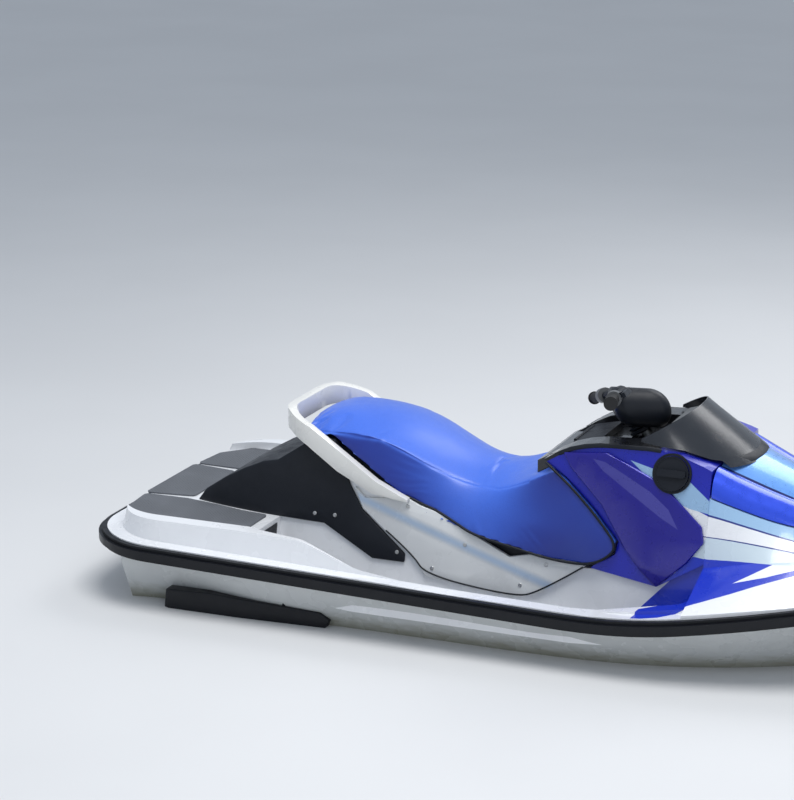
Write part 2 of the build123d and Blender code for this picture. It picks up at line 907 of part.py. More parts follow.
def glove_block(inset):
    """Block of the glove box, with each wall and the floor moved in by a distance."""
    return side_slab(
        [
            (GLOVE_AFT_X + inset, GLOVE_FLOOR_Z + inset),
            (GLOVE_FORE_X - inset, GLOVE_FLOOR_Z + inset),
            (GLOVE_FORE_X - inset, valley_z(GLOVE_FORE_X - inset)),
            (GLOVE_AFT_X + inset, valley_z(GLOVE_AFT_X + inset)),
        ],
        half=GLOVE_HALF - inset,
    )


with BuildPart() as glove_box:
    add(glove_block(0))
    add(glove_block(GLOVE_WALL), mode=Mode.SUBTRACT)
write(glove_box.part, "glove_box")

# Cowl over the console, an arch on each side of the cockpit trough
with BuildPart() as cowl:
    add(flank(COWL_THICK))
    add(side_slab(COWL_POINTS), mode=Mode.INTERSECT)
    add(side_slab(VALLEY_POINTS, half=VALLEY_HALF), mode=Mode.SUBTRACT)
    # Room for the seat's flaps
    with BuildPart(mode=Mode.SUBTRACT):
        add(side_slab(FLAP_POINTS))
        add(side_slab(FLAP_POINTS, half=FLAP_HALF), mode=Mode.SUBTRACT)
    add(deck_shell.part, mode=Mode.SUBTRACT)
    add(glove_block(0), mode=Mode.SUBTRACT)
    with BuildSketch(steering.offset(-STEM_DEPTH)):
        Circle(STEM_RADIUS + COWL_HOLE_GAP)
    extrude(amount=400, mode=Mode.SUBTRACT)

write(cowl.part, "cowl")

with BuildPart() as seat_base_fit:
    add(seat_base.part)
    add(cowl.part, mode=Mode.SUBTRACT)
write(seat_base_fit.part.solids().sort_by(SortBy.VOLUME)[-1], "seat_base")

# Light side panels on the pedestal's flanks
with BuildPart() as side_panels:
    add(flank(PANEL_THICK))
    add(side_slab(PANEL_POINTS), mode=Mode.INTERSECT)
    add(core_flank, mode=Mode.SUBTRACT)
    add(rear_cover.part, mode=Mode.SUBTRACT)
    add(cowl.part, mode=Mode.SUBTRACT)
write(starboard(side_panels.part), "side_panel_starboard")
write(port(side_panels.part), "side_panel_port")

# Darker knee panels over the cowl's flanks
with BuildPart() as knee_panels:
    add(flank(KNEE_THICK))
    add(side_slab(KNEE_POINTS), mode=Mode.INTERSECT)
    add(flank(COWL_THICK), mode=Mode.SUBTRACT)
write(starboard(knee_panels.part), "knee_panel_starboard")
write(port(knee_panels.part), "knee_panel_port")

# Seat cushion
with BuildPart() as seat:
    for x, low, mid, shoulder_y, shoulder_z, crown_z in SEAT_STATIONS:
        with BuildSketch(Plane.YZ.offset(x)):
            with BuildLine():
                ThreePointArc((low, FLANK_BOTTOM_Z), (mid, FLANK_MID_Z), (shoulder_y, shoulder_z))
                ThreePointArc((shoulder_y, shoulder_z), (0, crown_z), (-shoulder_y, shoulder_z))
                ThreePointArc((-shoulder_y, shoulder_z), (-mid, FLANK_MID_Z), (-low, FLANK_BOTTOM_Z))
                Line((-low, FLANK_BOTTOM_Z), (low, FLANK_BOTTOM_Z))
            make_face()
    loft()
    add(side_slab(SEAT_POINTS), mode=Mode.INTERSECT)
    for tool in (deck_shell.part, seat_base_fit.part, cowl.part, rear_cover.part):
        add(tool, mode=Mode.SUBTRACT)
    for tool in (side_panels.part, knee_panels.part):
        add(tool, mode=Mode.SUBTRACT)
write(seat.part.solids().sort_by(SortBy.VOLUME)[-1], "seat")

# Grab handle, a blade on each side that runs round behind the seat
with BuildPart() as grab_handle:
    with BuildSketch(Plane.XY.offset(300)):
        for inset, mode in ((0, Mode.ADD), (HANDLE_WIDTH, Mode.SUBTRACT)):
            with BuildSketch(mode=mode) as loop:
                with BuildLine():
                    Polyline(
                        (0, HANDLE_OUTER_Y + 8 - inset),
                        (-560, HANDLE_OUTER_Y + 8 - inset),
                        (HANDLE_AFT_X + inset, HANDLE_AFT_Y - inset),
                        (HANDLE_AFT_X + inset, -HANDLE_AFT_Y + inset),
                        (-560, -HANDLE_OUTER_Y - 8 + inset),
                        (0, -HANDLE_OUTER_Y - 8 + inset),
                        close=True,
                    )
                make_face()
                fillet(loop.vertices().group_by(Axis.X)[0], HANDLE_CORNER - inset)
    extrude(amount=400)
    add(side_slab(HANDLE_POINTS), mode=Mode.INTERSECT)
    for tool in (side_panels.part, rear_cover.part, deck_shell.part, seat_base_fit.part, seat.part):
        add(tool, mode=Mode.SUBTRACT)
write(grab_handle.part.solids().sort_by(SortBy.VOLUME)[-1], "grab_handle")

# Non-slip mats
MATS = [
    # name, outline on the starboard side
    (
        "mat_stern",
        [
            (-1494, -190),
            (-1480, -330),
            (-1400, -426),
            (-1022, -428),
            (-1022, -246),
            (-1110, -236),
            (-1225, -208),
            (-1340, -186),
        ],
    ),
    (
        "mat_footwell",
        [
            (-965, -296),
            (-950, -440),
            (-600, -498),
            (90, -498),
            (395, -425),
            (395, -348),
            (0, -318),
            (-500, -305),
        ],
    ),
]
for name, points in MATS:
    floor = PLATFORM_Z if name == "mat_stern" else WELL_FLOOR_Z
    with BuildPart() as mat:
        with BuildSketch(Plane.XY.offset(floor)) as plan:
            with BuildLine():
                Polyline(*points, close=True)
            make_face()
            fillet(plan.vertices(), MAT_CORNER)
        extrude(amount=MAT_THICK)
    write(mat.part, f"{name}_starboard")
    write(mirror(mat.part, about=Plane.XZ), f"{name}_port")

with BuildPart() as mat_stern_center:
    with BuildSketch(Plane.XY.offset(PLATFORM_Z)) as plan:
        with BuildLine():
            Polyline((-1500, -176), (-1500, 176), (-1332, 152), (-1332, -152), close=True)
        make_face()
        fillet(plan.vertices(), MAT_CORNER)
    extrude(amount=MAT_THICK)
write(mat_stern_center.part, "mat_stern_center")

# Hood: a thin lid over the storage bin
with BuildPart() as hood:
    add(nose.part)
    add(hood_zone(0, HOOD_AFT_X, HOOD_FORE_X), mode=Mode.INTERSECT)
    with BuildPart(mode=Mode.SUBTRACT):
        add(nose_inside.part)
        add(hood_zone(0, HOOD_AFT_X + HOOD_WALL, HOOD_FORE_X - HOOD_WALL), mode=Mode.INTERSECT)
    with BuildSketch(Plane.XZ) as knuckle:
        with Locations((HOOD_HINGE_X, HOOD_HINGE_Z)):
            Circle(KNUCKLE_RADIUS)
        with BuildLine():
            Polyline(
                (HOOD_HINGE_X, HOOD_HINGE_Z + KNUCKLE_RADIUS),
                (HOOD_HINGE_X - 30, HOOD_HINGE_Z - 6),
                (HOOD_HINGE_X - 30, HOOD_HINGE_Z - 20),
                (HOOD_HINGE_X - 8, HOOD_HINGE_Z - 14),
                (HOOD_HINGE_X, HOOD_HINGE_Z - KNUCKLE_RADIUS),
                close=True,
            )
        make_face()
        with Locations((HOOD_HINGE_X, HOOD_HINGE_Z)):
            Circle(HOOD_PIN + SHAFT_CLEARANCE, mode=Mode.SUBTRACT)
    extrude(amount=KNUCKLE_HALF, both=True)
write(hood.part, "hood")

# Hood hinge: two lugs on the fore deck with the pin through the hood's knuckle
with BuildPart() as hood_hinge:
    for side in (1, -1):
        with BuildSketch(Plane.XZ.offset(side * (KNUCKLE_HALF + 1))):
            with BuildLine():
                Polyline(
                    (HOOD_HINGE_X - 9, HOOD_HINGE_Z + 6),
                    (HOOD_HINGE_X + 4, HOOD_HINGE_Z + 8),
                    (HOOD_HINGE_X + 34, HOOD_HINGE_Z - 40),
                    (HOOD_HINGE_X + 1, HOOD_HINGE_Z - 40),
                    close=True,
                )
            make_face()
        extrude(amount=side * (LUG_HALF - KNUCKLE_HALF - 1))
    with BuildSketch(Plane.XZ.offset(-LUG_HALF)):
        with Locations((HOOD_HINGE_X, HOOD_HINGE_Z)):
            Circle(HOOD_PIN)
    extrude(amount=2 * LUG_HALF)
    add(deck_shell.part, mode=Mode.SUBTRACT)
write(hood_hinge.part.solids().sort_by(SortBy.VOLUME)[-1], "hood_hinge")

# Windshield, wrapped round the instruments
with BuildPart() as windshield:
    for inset, mode in ((0, Mode.ADD), (SHIELD_WALL, Mode.SUBTRACT)):
        with BuildPart(mode=mode):
            for z, aft_x, aft_y, fore_x in SHIELD_STATIONS:
                with BuildSketch(Plane.XY.offset(z)):
                    with BuildLine():
                        ThreePointArc(
                            (aft_x, aft_y - inset), (fore_x - inset, 0), (aft_x, -aft_y + inset)
                        )
                        Line((aft_x, -aft_y + inset), (aft_x, aft_y - inset))
                    make_face()
            loft()
    add(side_slab(SHIELD_POINTS), mode=Mode.INTERSECT)
    add(hood.part, mode=Mode.SUBTRACT)
write(windshield.part.solids().sort_by(SortBy.VOLUME)[-1], "windshield")

# Storage bin under the hood
with BuildPart() as storage_bin:
    bin_x = (BIN_AFT_X + BIN_FORE_X) / 2
    bin_length = BIN_FORE_X - BIN_AFT_X
    with Locations((bin_x, 0, (BIN_FLOOR_Z + BIN_RIM_Z) / 2)):
        Box(bin_length, 2 * BIN_HALF, BIN_RIM_Z - BIN_FLOOR_Z)
    with Locations((bin_x, 0, (BIN_FLOOR_Z + BIN_RIM_Z) / 2 + BIN_WALL)):
        Box(
            bin_length - 2 * BIN_WALL,
            2 * (BIN_HALF - BIN_WALL),
            BIN_RIM_Z - BIN_FLOOR_Z,
            mode=Mode.SUBTRACT,
        )
write(storage_bin.part, "storage_bin")

# Engine, as one block at its real place
with BuildPart() as engine_block:
    with Locations((ENGINE_AFT_X + ENGINE_LENGTH / 2, 0, BAY_FLOOR_Z + ENGINE_HEIGHT / 2)):
        Box(ENGINE_LENGTH, ENGINE_WIDTH, ENGINE_HEIGHT)
write(engine_block.part, "engine_block")

# Pump housing: flanged barrel, stator with the aft bearing, and the venturi
with BuildPart() as pump_housing:
    with BuildSketch(Plane.XZ):
        with BuildLine():
            Polyline(
                (TUNNEL_FRONT_X, PUMP_Z + PUMP_BORE),
                (TUNNEL_FRONT_X, PUMP_Z + FLANGE_RADIUS),
                (TUNNEL_FRONT_X - FLANGE_THICK, PUMP_Z + FLANGE_RADIUS),
                (TUNNEL_FRONT_X - FLANGE_THICK, PUMP_Z + PUMP_RADIUS),
                (PUMP_AFT_X, PUMP_Z + PUMP_RADIUS),
                (VENTURI_END_X, PUMP_Z + VENTURI_RADIUS + VENTURI_WALL),
                (VENTURI_END_X, PUMP_Z + VENTURI_RADIUS),
                (PUMP_AFT_X, PUMP_Z + PUMP_BORE),
                close=True,
            )
        make_face()
    revolve(axis=Axis((0, 0, PUMP_Z), (1, 0, 0)))
    with BuildSketch(Plane.XZ):
        with BuildLine():
            Polyline(
                (HUB_FORE_X, PUMP_Z),
                (HUB_FORE_X, PUMP_Z + HUB_RADIUS),
                (PUMP_AFT_X, PUMP_Z + HUB_RADIUS - 6),
                (HUB_TAIL_X + 10, PUMP_Z + HUB_RADIUS / 2),
                (HUB_TAIL_X, PUMP_Z + HUB_RADIUS / 4),
                (HUB_TAIL_X, PUMP_Z),
                close=True,
            )
        make_face()
    revolve(axis=Axis((0, 0, PUMP_Z), (1, 0, 0)))
    for turn in range(VANE_COUNT):
        plane = Plane((0, 0, PUMP_Z)).rotated((turn * 360 / VANE_COUNT, 0, 0))
        with BuildSketch(plane):
            with Locations(((HUB_FORE_X + PUMP_AFT_X) / 2 - 2, (HUB_RADIUS + PUMP_BORE) / 2 - 2)):
                Rectangle(HUB_FORE_X - PUMP_AFT_X - 8, PUMP_BORE - HUB_RADIUS + 12)
        extrude(amount=VANE_THICK / 2, both=True)
    with BuildSketch(Plane.YZ.offset(SHAFT_AFT_X - 2)):
        with Locations((0, PUMP_Z)):
            Circle(SHAFT_RADIUS + SHAFT_CLEARANCE)
    extrude(amount=200, mode=Mode.SUBTRACT)
    for side in (1, -1):
        with BuildSketch(Plane.XZ.offset(side * (PUMP_RADIUS - 8))):
            with Locations((BUCKET_PIVOT_X, PUMP_Z)):
                Circle(BOSS_RADIUS)
        extrude(amount=side * (BOSS_OUTER - PUMP_RADIUS + 8))
    # Bores for the nozzle's upright pins and the bucket's side pins
    with BuildSketch(Plane.XY.offset(PUMP_Z - 100)):
        with Locations((NOZZLE_PIVOT_X, 0)):
            Circle(NOZZLE_PIN + SHAFT_CLEARANCE)
    extrude(amount=200, mode=Mode.SUBTRACT)
    for side in (1, -1):
        with BuildSketch(Plane.XZ.offset(side * (BUCKET_PIN_INNER - 3))):
            with Locations((BUCKET_PIVOT_X, PUMP_Z)):
                Circle(BUCKET_PIN + SHAFT_CLEARANCE)
        extrude(amount=side * 40, mode=Mode.SUBTRACT)
write(pump_housing.part, "pump_housing")

# Ride plate under the pump
with BuildPart() as ride_plate:
    with BuildSketch(Plane.XY.offset(PLATE_TOP_Z)):
        with Locations(((PLATE_AFT_X + PLATE_FORE_X) / 2, 0)):
            Rectangle(PLATE_FORE_X - PLATE_AFT_X, 2 * TUNNEL_RADIUS)
    extrude(amount=-PLATE_THICK)
    fillet(ride_plate.edges().filter_by(Axis.Z).group_by(Axis.X)[0], 30)
write(ride_plate.part, "ride_plate")

# Intake grate: bars along the boat in a frame that fits the intake's mouth
with BuildPart() as intake_grate:
    with BuildSketch(Plane.XY.offset(GRATE_Z)) as frame:
        with Locations(((GRATE_AFT_X + GRATE_FORE_X) / 2, 0)):
            Rectangle(GRATE_FORE_X - GRATE_AFT_X, 2 * INTAKE_HALF)
            Rectangle(
                GRATE_FORE_X - GRATE_AFT_X - 4 * GRATE_RADIUS,
                2 * INTAKE_HALF - 4 * GRATE_RADIUS,
                mode=Mode.SUBTRACT,
            )
    extrude(amount=2 * GRATE_RADIUS)
    with BuildSketch(Plane.YZ.offset(GRATE_AFT_X + GRATE_RADIUS)):
        with GridLocations(INTAKE_HALF / 2, 1, GRATE_BARS, 1):
            with Locations((0, GRATE_Z + GRATE_RADIUS)):
                Circle(GRATE_RADIUS)
    extrude(amount=GRATE_FORE_X - GRATE_AFT_X - 2 * GRATE_RADIUS)
write(intake_grate.part, "intake_grate")

# Drive shaft and impeller
with BuildPart() as drive_shaft:
    with BuildSketch(Plane.YZ.offset(SHAFT_AFT_X)):
        with Locations((0, PUMP_Z)):
            Circle(SHAFT_RADIUS)
    extrude(amount=SHAFT_FORE_X - SHAFT_AFT_X)
write(drive_shaft.part, "drive_shaft")

with BuildPart() as impeller:
    with BuildSketch(Plane.XZ):
        with BuildLine():
            Polyline(
                (IMPELLER_AFT_X, PUMP_Z + SHAFT_RADIUS),
                (IMPELLER_AFT_X, PUMP_Z + HUB_RADIUS - 1),
                (IMPELLER_AFT_X + IMPELLER_LENGTH - 15, PUMP_Z + HUB_RADIUS - 6),
                (IMPELLER_AFT_X + IMPELLER_LENGTH, PUMP_Z + SHAFT_RADIUS + 4),
                (IMPELLER_AFT_X + IMPELLER_LENGTH, PUMP_Z + SHAFT_RADIUS),
                close=True,
            )
        make_face()
    revolve(axis=Axis((0, 0, PUMP_Z), (1, 0, 0)))
    with BuildPart(mode=Mode.PRIVATE) as barrel:
        with BuildSketch(Plane.YZ.offset(IMPELLER_AFT_X + 4)):
            with Locations((0, PUMP_Z)):
                Circle(IMPELLER_RADIUS)
                Circle(SHAFT_RADIUS + 6, mode=Mode.SUBTRACT)
        extrude(amount=IMPELLER_LENGTH - 24)
    for turn in range(BLADE_COUNT):
        base = Plane(
            origin=(IMPELLER_AFT_X + IMPELLER_LENGTH / 2 - 8, 0, PUMP_Z), x_dir=(1, 0, 0), z_dir=(0, 0, 1)
        ).rotated((turn * 360 / BLADE_COUNT, 0, 0))
        with BuildPart(mode=Mode.PRIVATE) as blade:
            with BuildSketch(base.offset(SHAFT_RADIUS + 6)):
                Rectangle(BLADE_CHORD, BLADE_THICK, rotation=BLADE_PITCH)
            extrude(amount=IMPELLER_RADIUS)
            add(barrel.part, mode=Mode.INTERSECT)
        add(blade.part)
write(impeller.part, "impeller")

# Steering nozzle, turned with the handlebar
with BuildPart() as nozzle_straight:
    with BuildSketch(Plane.XZ):
        with BuildLine():
            Polyline(
                (NOZZLE_FORE_X, PUMP_Z + NOZZLE_MOUTH),
                (NOZZLE_FORE_X, PUMP_Z + NOZZLE_LIP),
                (NOZZLE_FORE_X - EAR_THICK, PUMP_Z + NOZZLE_LIP),
                (NOZZLE_FORE_X - EAR_THICK - 4, PUMP_Z + NOZZLE_MOUTH + NOZZLE_WALL),
                (NOZZLE_END_X + 20, PUMP_Z + NOZZLE_EXIT + NOZZLE_WALL),
                (NOZZLE_END_X, PUMP_Z + NOZZLE_EXIT + NOZZLE_WALL),
                (NOZZLE_END_X, PUMP_Z + NOZZLE_EXIT),
                (NOZZLE_END_X + 20, PUMP_Z + NOZZLE_EXIT),
                close=True,
            )
        make_face()
    revolve(axis=Axis((0, 0, PUMP_Z), (1, 0, 0)))
    for side in (1, -1):
        with BuildSketch(Plane.XY.offset(PUMP_Z + side * EAR_LOW)):
            with Locations((NOZZLE_PIVOT_X, 0)):
                Circle(EAR_RADIUS)
            with Locations(((NOZZLE_PIVOT_X + NOZZLE_FORE_X - EAR_THICK) / 2, 0)):
                Rectangle(NOZZLE_PIVOT_X - NOZZLE_FORE_X + EAR_THICK, 2 * EAR_RADIUS)
        extrude(amount=side * EAR_THICK)
        with BuildSketch(Plane.XY.offset(PUMP_Z + side * PIN_INNER)):
            with Locations((NOZZLE_PIVOT_X, 0)):
                Circle(NOZZLE_PIN)
        extrude(amount=side * (EAR_LOW + 2 - PIN_INNER))
with BuildPart() as steering_nozzle:
    add(nozzle_straight.part.rotate(Axis((NOZZLE_PIVOT_X, 0, PUMP_Z), (0, 0, 1)), NOZZLE_TURN))
write(steering_nozzle.part, "steering_nozzle")

# Reverse bucket, swung up above the jet
with BuildPart() as reverse_bucket:
    with BuildSketch(Plane.XZ.offset(-BUCKET_HALF)) as sector:
        with BuildLine():
            CenterArc(
                (BUCKET_PIVOT_X, PUMP_Z), BUCKET_INNER, 180 - BUCKET_HIGH, BUCKET_HIGH - BUCKET_LOW
            )
            CenterArc(
                (BUCKET_PIVOT_X, PUMP_Z),
                BUCKET_INNER + BUCKET_THICK,
                180 - BUCKET_HIGH,
                BUCKET_HIGH - BUCKET_LOW,
            )
            for angle in (BUCKET_LOW, BUCKET_HIGH):
                c = -math.cos(math.radians(angle))
                s = math.sin(math.radians(angle))
                Line(
                    (BUCKET_PIVOT_X + BUCKET_INNER * c, PUMP_Z + BUCKET_INNER * s),
                    (
                        BUCKET_PIVOT_X + (BUCKET_INNER + BUCKET_THICK) * c,
                        PUMP_Z + (BUCKET_INNER + BUCKET_THICK) * s,
                    ),
                )
        make_face()
    extrude(amount=2 * BUCKET_HALF)
    for side in (1, -1):
        with BuildSketch(Plane.XZ.offset(-side * (BUCKET_HALF - BUCKET_THICK))):
            with BuildLine():
                edge = BUCKET_INNER + BUCKET_THICK / 2
                low = math.radians(BUCKET_LOW + 1)
                high = math.radians(BUCKET_HIGH - 1)
                Polyline(
                    (BUCKET_PIVOT_X + 16, PUMP_Z - 6),
                    (BUCKET_PIVOT_X - 8, PUMP_Z - 16),
                    (BUCKET_PIVOT_X - edge * math.cos(low), PUMP_Z + edge * math.sin(low)),
                    (
                        BUCKET_PIVOT_X - edge * math.cos((low + high) / 2),
                        PUMP_Z + edge * math.sin((low + high) / 2),
                    ),
                    (BUCKET_PIVOT_X - edge * math.cos(high), PUMP_Z + edge * math.sin(high)),
                    (TRANSOM_X - 12, PUMP_Z + 42),
                    (BUCKET_PIVOT_X + 14, PUMP_Z + 14),
                    close=True,
                )
            make_face()
        extrude(amount=-side * BUCKET_THICK)
        with BuildSketch(Plane.XZ.offset(-side * BUCKET_PIN_INNER)):
            with Locations((BUCKET_PIVOT_X, PUMP_Z)):
                Circle(BUCKET_PIN)
        extrude(amount=-side * (BUCKET_HALF - 2 - BUCKET_PIN_INNER))
write(reverse_bucket.part, "reverse_bucket")

# Handlebar on its leaning axis, turned to port
turn_port = math.radians(STEER_TURN)
turned = Plane(
    origin=steering.origin,
    x_dir=(math.cos(turn_port) * math.cos(lean), math.sin(turn_port), math.cos(turn_port) * math.sin(lean)),
    z_dir=steering.z_dir,
)


def on_axis(height):
    """Sketch plane across the steering axis, turned with the handlebar."""
    return turned.offset(height)


with BuildPart() as steering_stem:
    with BuildSketch(on_axis(-STEM_DEPTH)):
        Circle(STEM_RADIUS)
    extrude(amount=STEM_DEPTH + BAR_HEIGHT - BAR_RADIUS - CLAMP_THICK)
    with BuildSketch(on_axis(BAR_HEIGHT - BAR_RADIUS - CLAMP_THICK)):
        RectangleRounded(56, 90, 10)
    extrude(amount=CLAMP_THICK)
write(steering_stem.part, "steering_stem")

with BuildPart() as handlebar:
    with BuildLine(on_axis(BAR_HEIGHT)) as bar_path:
        FilletPolyline(
            (-BAR_SWEEP, -BAR_HALF, 0),
            (-BAR_SWEEP * 0.55, -BAR_BEND, 0),
            (0, -BAR_CENTER, 0),
            (0, BAR_CENTER, 0),
            (-BAR_SWEEP * 0.55, BAR_BEND, 0),
            (-BAR_SWEEP, BAR_HALF, 0),
            radius=40,
        )
    with BuildSketch(Plane(origin=bar_path.line @ 0, z_dir=bar_path.line % 0)):
        Circle(BAR_RADIUS)
    sweep()
write(handlebar.part, "handlebar")

GRIP_ENDS = [
    # name, end of the line that leads to the grip
    ("port", 1),
    ("starboard", 0),
]
bar_line = bar_path.line
for name, end in GRIP_ENDS:
    way = (bar_line % end) * (1 if end else -1)
    tip = bar_line @ end
    with BuildPart() as grip:
        with BuildSketch(Plane(origin=tip + way * GRIP_CAP, z_dir=-way)):
            Circle(GRIP_RADIUS)
        extrude(amount=GRIP_LENGTH)
        with BuildSketch(Plane(origin=tip + way * GRIP_CAP, z_dir=-way)):
            Circle(GRIP_FLANGE)
        extrude(amount=GRIP_CAP)
        with BuildSketch(Plane(origin=tip, z_dir=-way)):
            Circle(BAR_RADIUS)
        extrude(amount=GRIP_LENGTH, mode=Mode.SUBTRACT)
    write(grip.part, f"grip_{name}")
    with BuildPart() as housing:
        with BuildSketch(Plane(origin=tip - way * (GRIP_LENGTH - GRIP_CAP + 3), z_dir=-way)):
            Circle(HOUSING_RADIUS)
            Circle(BAR_RADIUS, mode=Mode.SUBTRACT)
        extrude(amount=HOUSING_LENGTH)
    write(housing.part, "throttle_housing" if name == "starboard" else "switch_housing")

with BuildPart() as throttle_lever:
    way = (bar_line % 0) * -1
    root = (bar_line @ 0) - way * (GRIP_LENGTH - GRIP_CAP + 3 + HOUSING_LENGTH / 2)
    with BuildSketch(Plane(origin=root, x_dir=way, z_dir=turned.z_dir).offset(-LEVER_THICK / 2)):
        with BuildLine():
            Polyline(
                (-10, 0),
                (14, 0),
                (26, HOUSING_RADIUS + 18),
                (104, HOUSING_RADIUS + 12),
                (106, HOUSING_RADIUS + 22),
                (2, HOUSING_RADIUS + 34),
                close=True,
            )
        make_face()
    extrude(amount=LEVER_THICK)
    with BuildSketch(Plane(origin=bar_line @ 0, z_dir=-way)):
        Circle(HOUSING_RADIUS)
    extrude(amount=300, mode=Mode.SUBTRACT)
write(throttle_lever.part, "throttle_lever")

with BuildPart() as pad_ahead:
    for z, middle_x, length, width in PAD_SECTIONS:
        with BuildSketch(Plane.XY.offset(z)):
            with Locations((middle_x, 0)):
                RectangleRounded(length, width, PAD_CORNER)
    loft()

with BuildPart() as bar_pad:
    add(pad_ahead.part.rotate(Axis(steering.origin, steering.z_dir), STEER_TURN))
    add(handlebar.part, mode=Mode.SUBTRACT)
    add(steering_stem.part, mode=Mode.SUBTRACT)
write(bar_pad.part.solids().sort_by(SortBy.VOLUME)[-1], "bar_pad")

# Fuel filler on the starboard cowl
filler_tilt = math.radians(FILLER_TILT)
filler = Plane(
    origin=(FILLER_X, -FILLER_Y, FILLER_Z),
    x_dir=(1, 0, 0),
    z_dir=(0, -math.cos(filler_tilt), math.sin(filler_tilt)),
)
with BuildPart() as fuel_bezel:
    with BuildSketch(filler.offset(-12)):
        Circle(BEZEL_RADIUS)
        Circle(CAP_RADIUS + 2, mode=Mode.SUBTRACT)
    extrude(amount=12 + BEZEL_PROUD)
    add(cowl.part, mode=Mode.SUBTRACT)
    add(knee_panels.part, mode=Mode.SUBTRACT)
    add(deck_shell.part, mode=Mode.SUBTRACT)
write(fuel_bezel.part.solids().sort_by(SortBy.VOLUME)[-1], "fuel_bezel")

with BuildPart() as fuel_cap:
    with BuildSketch(filler.offset(-14)):
        Circle(CAP_RADIUS)
    extrude(amount=14 + CAP_PROUD)
    with BuildSketch(filler.offset(CAP_PROUD)):
        RectangleRounded(2 * CAP_RADIUS - 14, 22, 8)
    extrude(amount=CAP_GRIP)
    add(cowl.part, mode=Mode.SUBTRACT)
    add(knee_panels.part, mode=Mode.SUBTRACT)
    add(deck_shell.part, mode=Mode.SUBTRACT)
write(fuel_cap.part.solids().sort_by(SortBy.VOLUME)[-1], "fuel_cap")

# Lid of the glove box, hinged at its aft edge
with BuildPart() as glove_lid:
    add(
        side_slab(
            [
                (LID_AFT_X, valley_z(LID_AFT_X) + LID_GAP),
                (LID_FORE_X, valley_z(LID_FORE_X) + LID_GAP),
                (LID_FORE_X, valley_z(LID_FORE_X) + LID_GAP + LID_THICK),
                (LID_AFT_X, valley_z(LID_AFT_X) + LID_GAP + LID_THICK),
            ],
            half=LID_HALF,
        )
    )
    fillet(glove_lid.edges().filter_by(Axis.Z), 10)
    with BuildSketch(Plane.XZ.offset(-LID_HALF + 24)):
        with Locations((LID_AFT_X, valley_z(LID_AFT_X) + LID_GAP + LID_THICK)):
            Circle(LID_KNUCKLE)
    extrude(amount=2 * LID_HALF - 48)
write(glove_lid.part, "glove_lid")

# Instrument pod ahead of the handlebar
with BuildPart() as instrument_pod:
    add(round_slab(POD_POINTS, 8, half=POD_HALF))
    add(cowl.part, mode=Mode.SUBTRACT)
    add(deck_shell.part, mode=Mode.SUBTRACT)
write(instrument_pod.part.solids().sort_by(SortBy.VOLUME)[-1], "instrument_pod")

# Sponsons on the stern quarters
with BuildPart() as sponsons:
    with BuildSketch(Plane.XY.offset(-80)):
        Polygon(*SPONSON_PLAN, align=None)
        mirror(about=Plane.XZ)
    extrude(amount=200)
    add(side_slab(SPONSON_POINTS), mode=Mode.INTERSECT)
    add(hull_shell.part, mode=Mode.SUBTRACT)
write(starboard(sponsons.part), "sponson_starboard")
write(port(sponsons.part), "sponson_port")

# Towing eyes at the bow and on the transom
EYES = [
    # name, x, y, z, direction that the loop stands out
    ("bow_eye", BOW_EYE_X, 0, BOW_EYE_Z, 1),
    ("stern_eye_starboard", TRANSOM_X, -STERN_EYE_Y, STERN_EYE_Z, -1),
    ("stern_eye_port", TRANSOM_X, STERN_EYE_Y, STERN_EYE_Z, -1),
]
for name, x, y, z, way in EYES:
    with BuildPart() as eye:
        with BuildLine(Plane.XZ.offset(-y)) as loop_line:
            FilletPolyline(
                (x - way * 20, z - EYE_HALF),
                (x + way * EYE_REACH, z - EYE_HALF),
                (x + way * EYE_REACH, z + EYE_HALF),
                (x - way * 20, z + EYE_HALF),
                radius=EYE_HALF * 0.98,
            )
        with BuildSketch(Plane(origin=loop_line.line @ 0, z_dir=loop_line.line % 0)):
            Circle(EYE_WIRE)
        sweep()
        add(hull_shell.part, mode=Mode.SUBTRACT)
    write(eye.part.solids().sort_by(SortBy.VOLUME)[-1], name)
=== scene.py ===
"""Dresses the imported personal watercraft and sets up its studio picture.

Every length is in metres. X runs forward, Y to port and Z up, from the
waterline amidships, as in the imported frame.
"""

from __future__ import annotations

import json
import logging
import math
from dataclasses import dataclass
from enum import Enum
from typing import Callable, Sequence

import bpy
from mathutils import Matrix, Vector
from mathutils.bvhtree import BVHTree

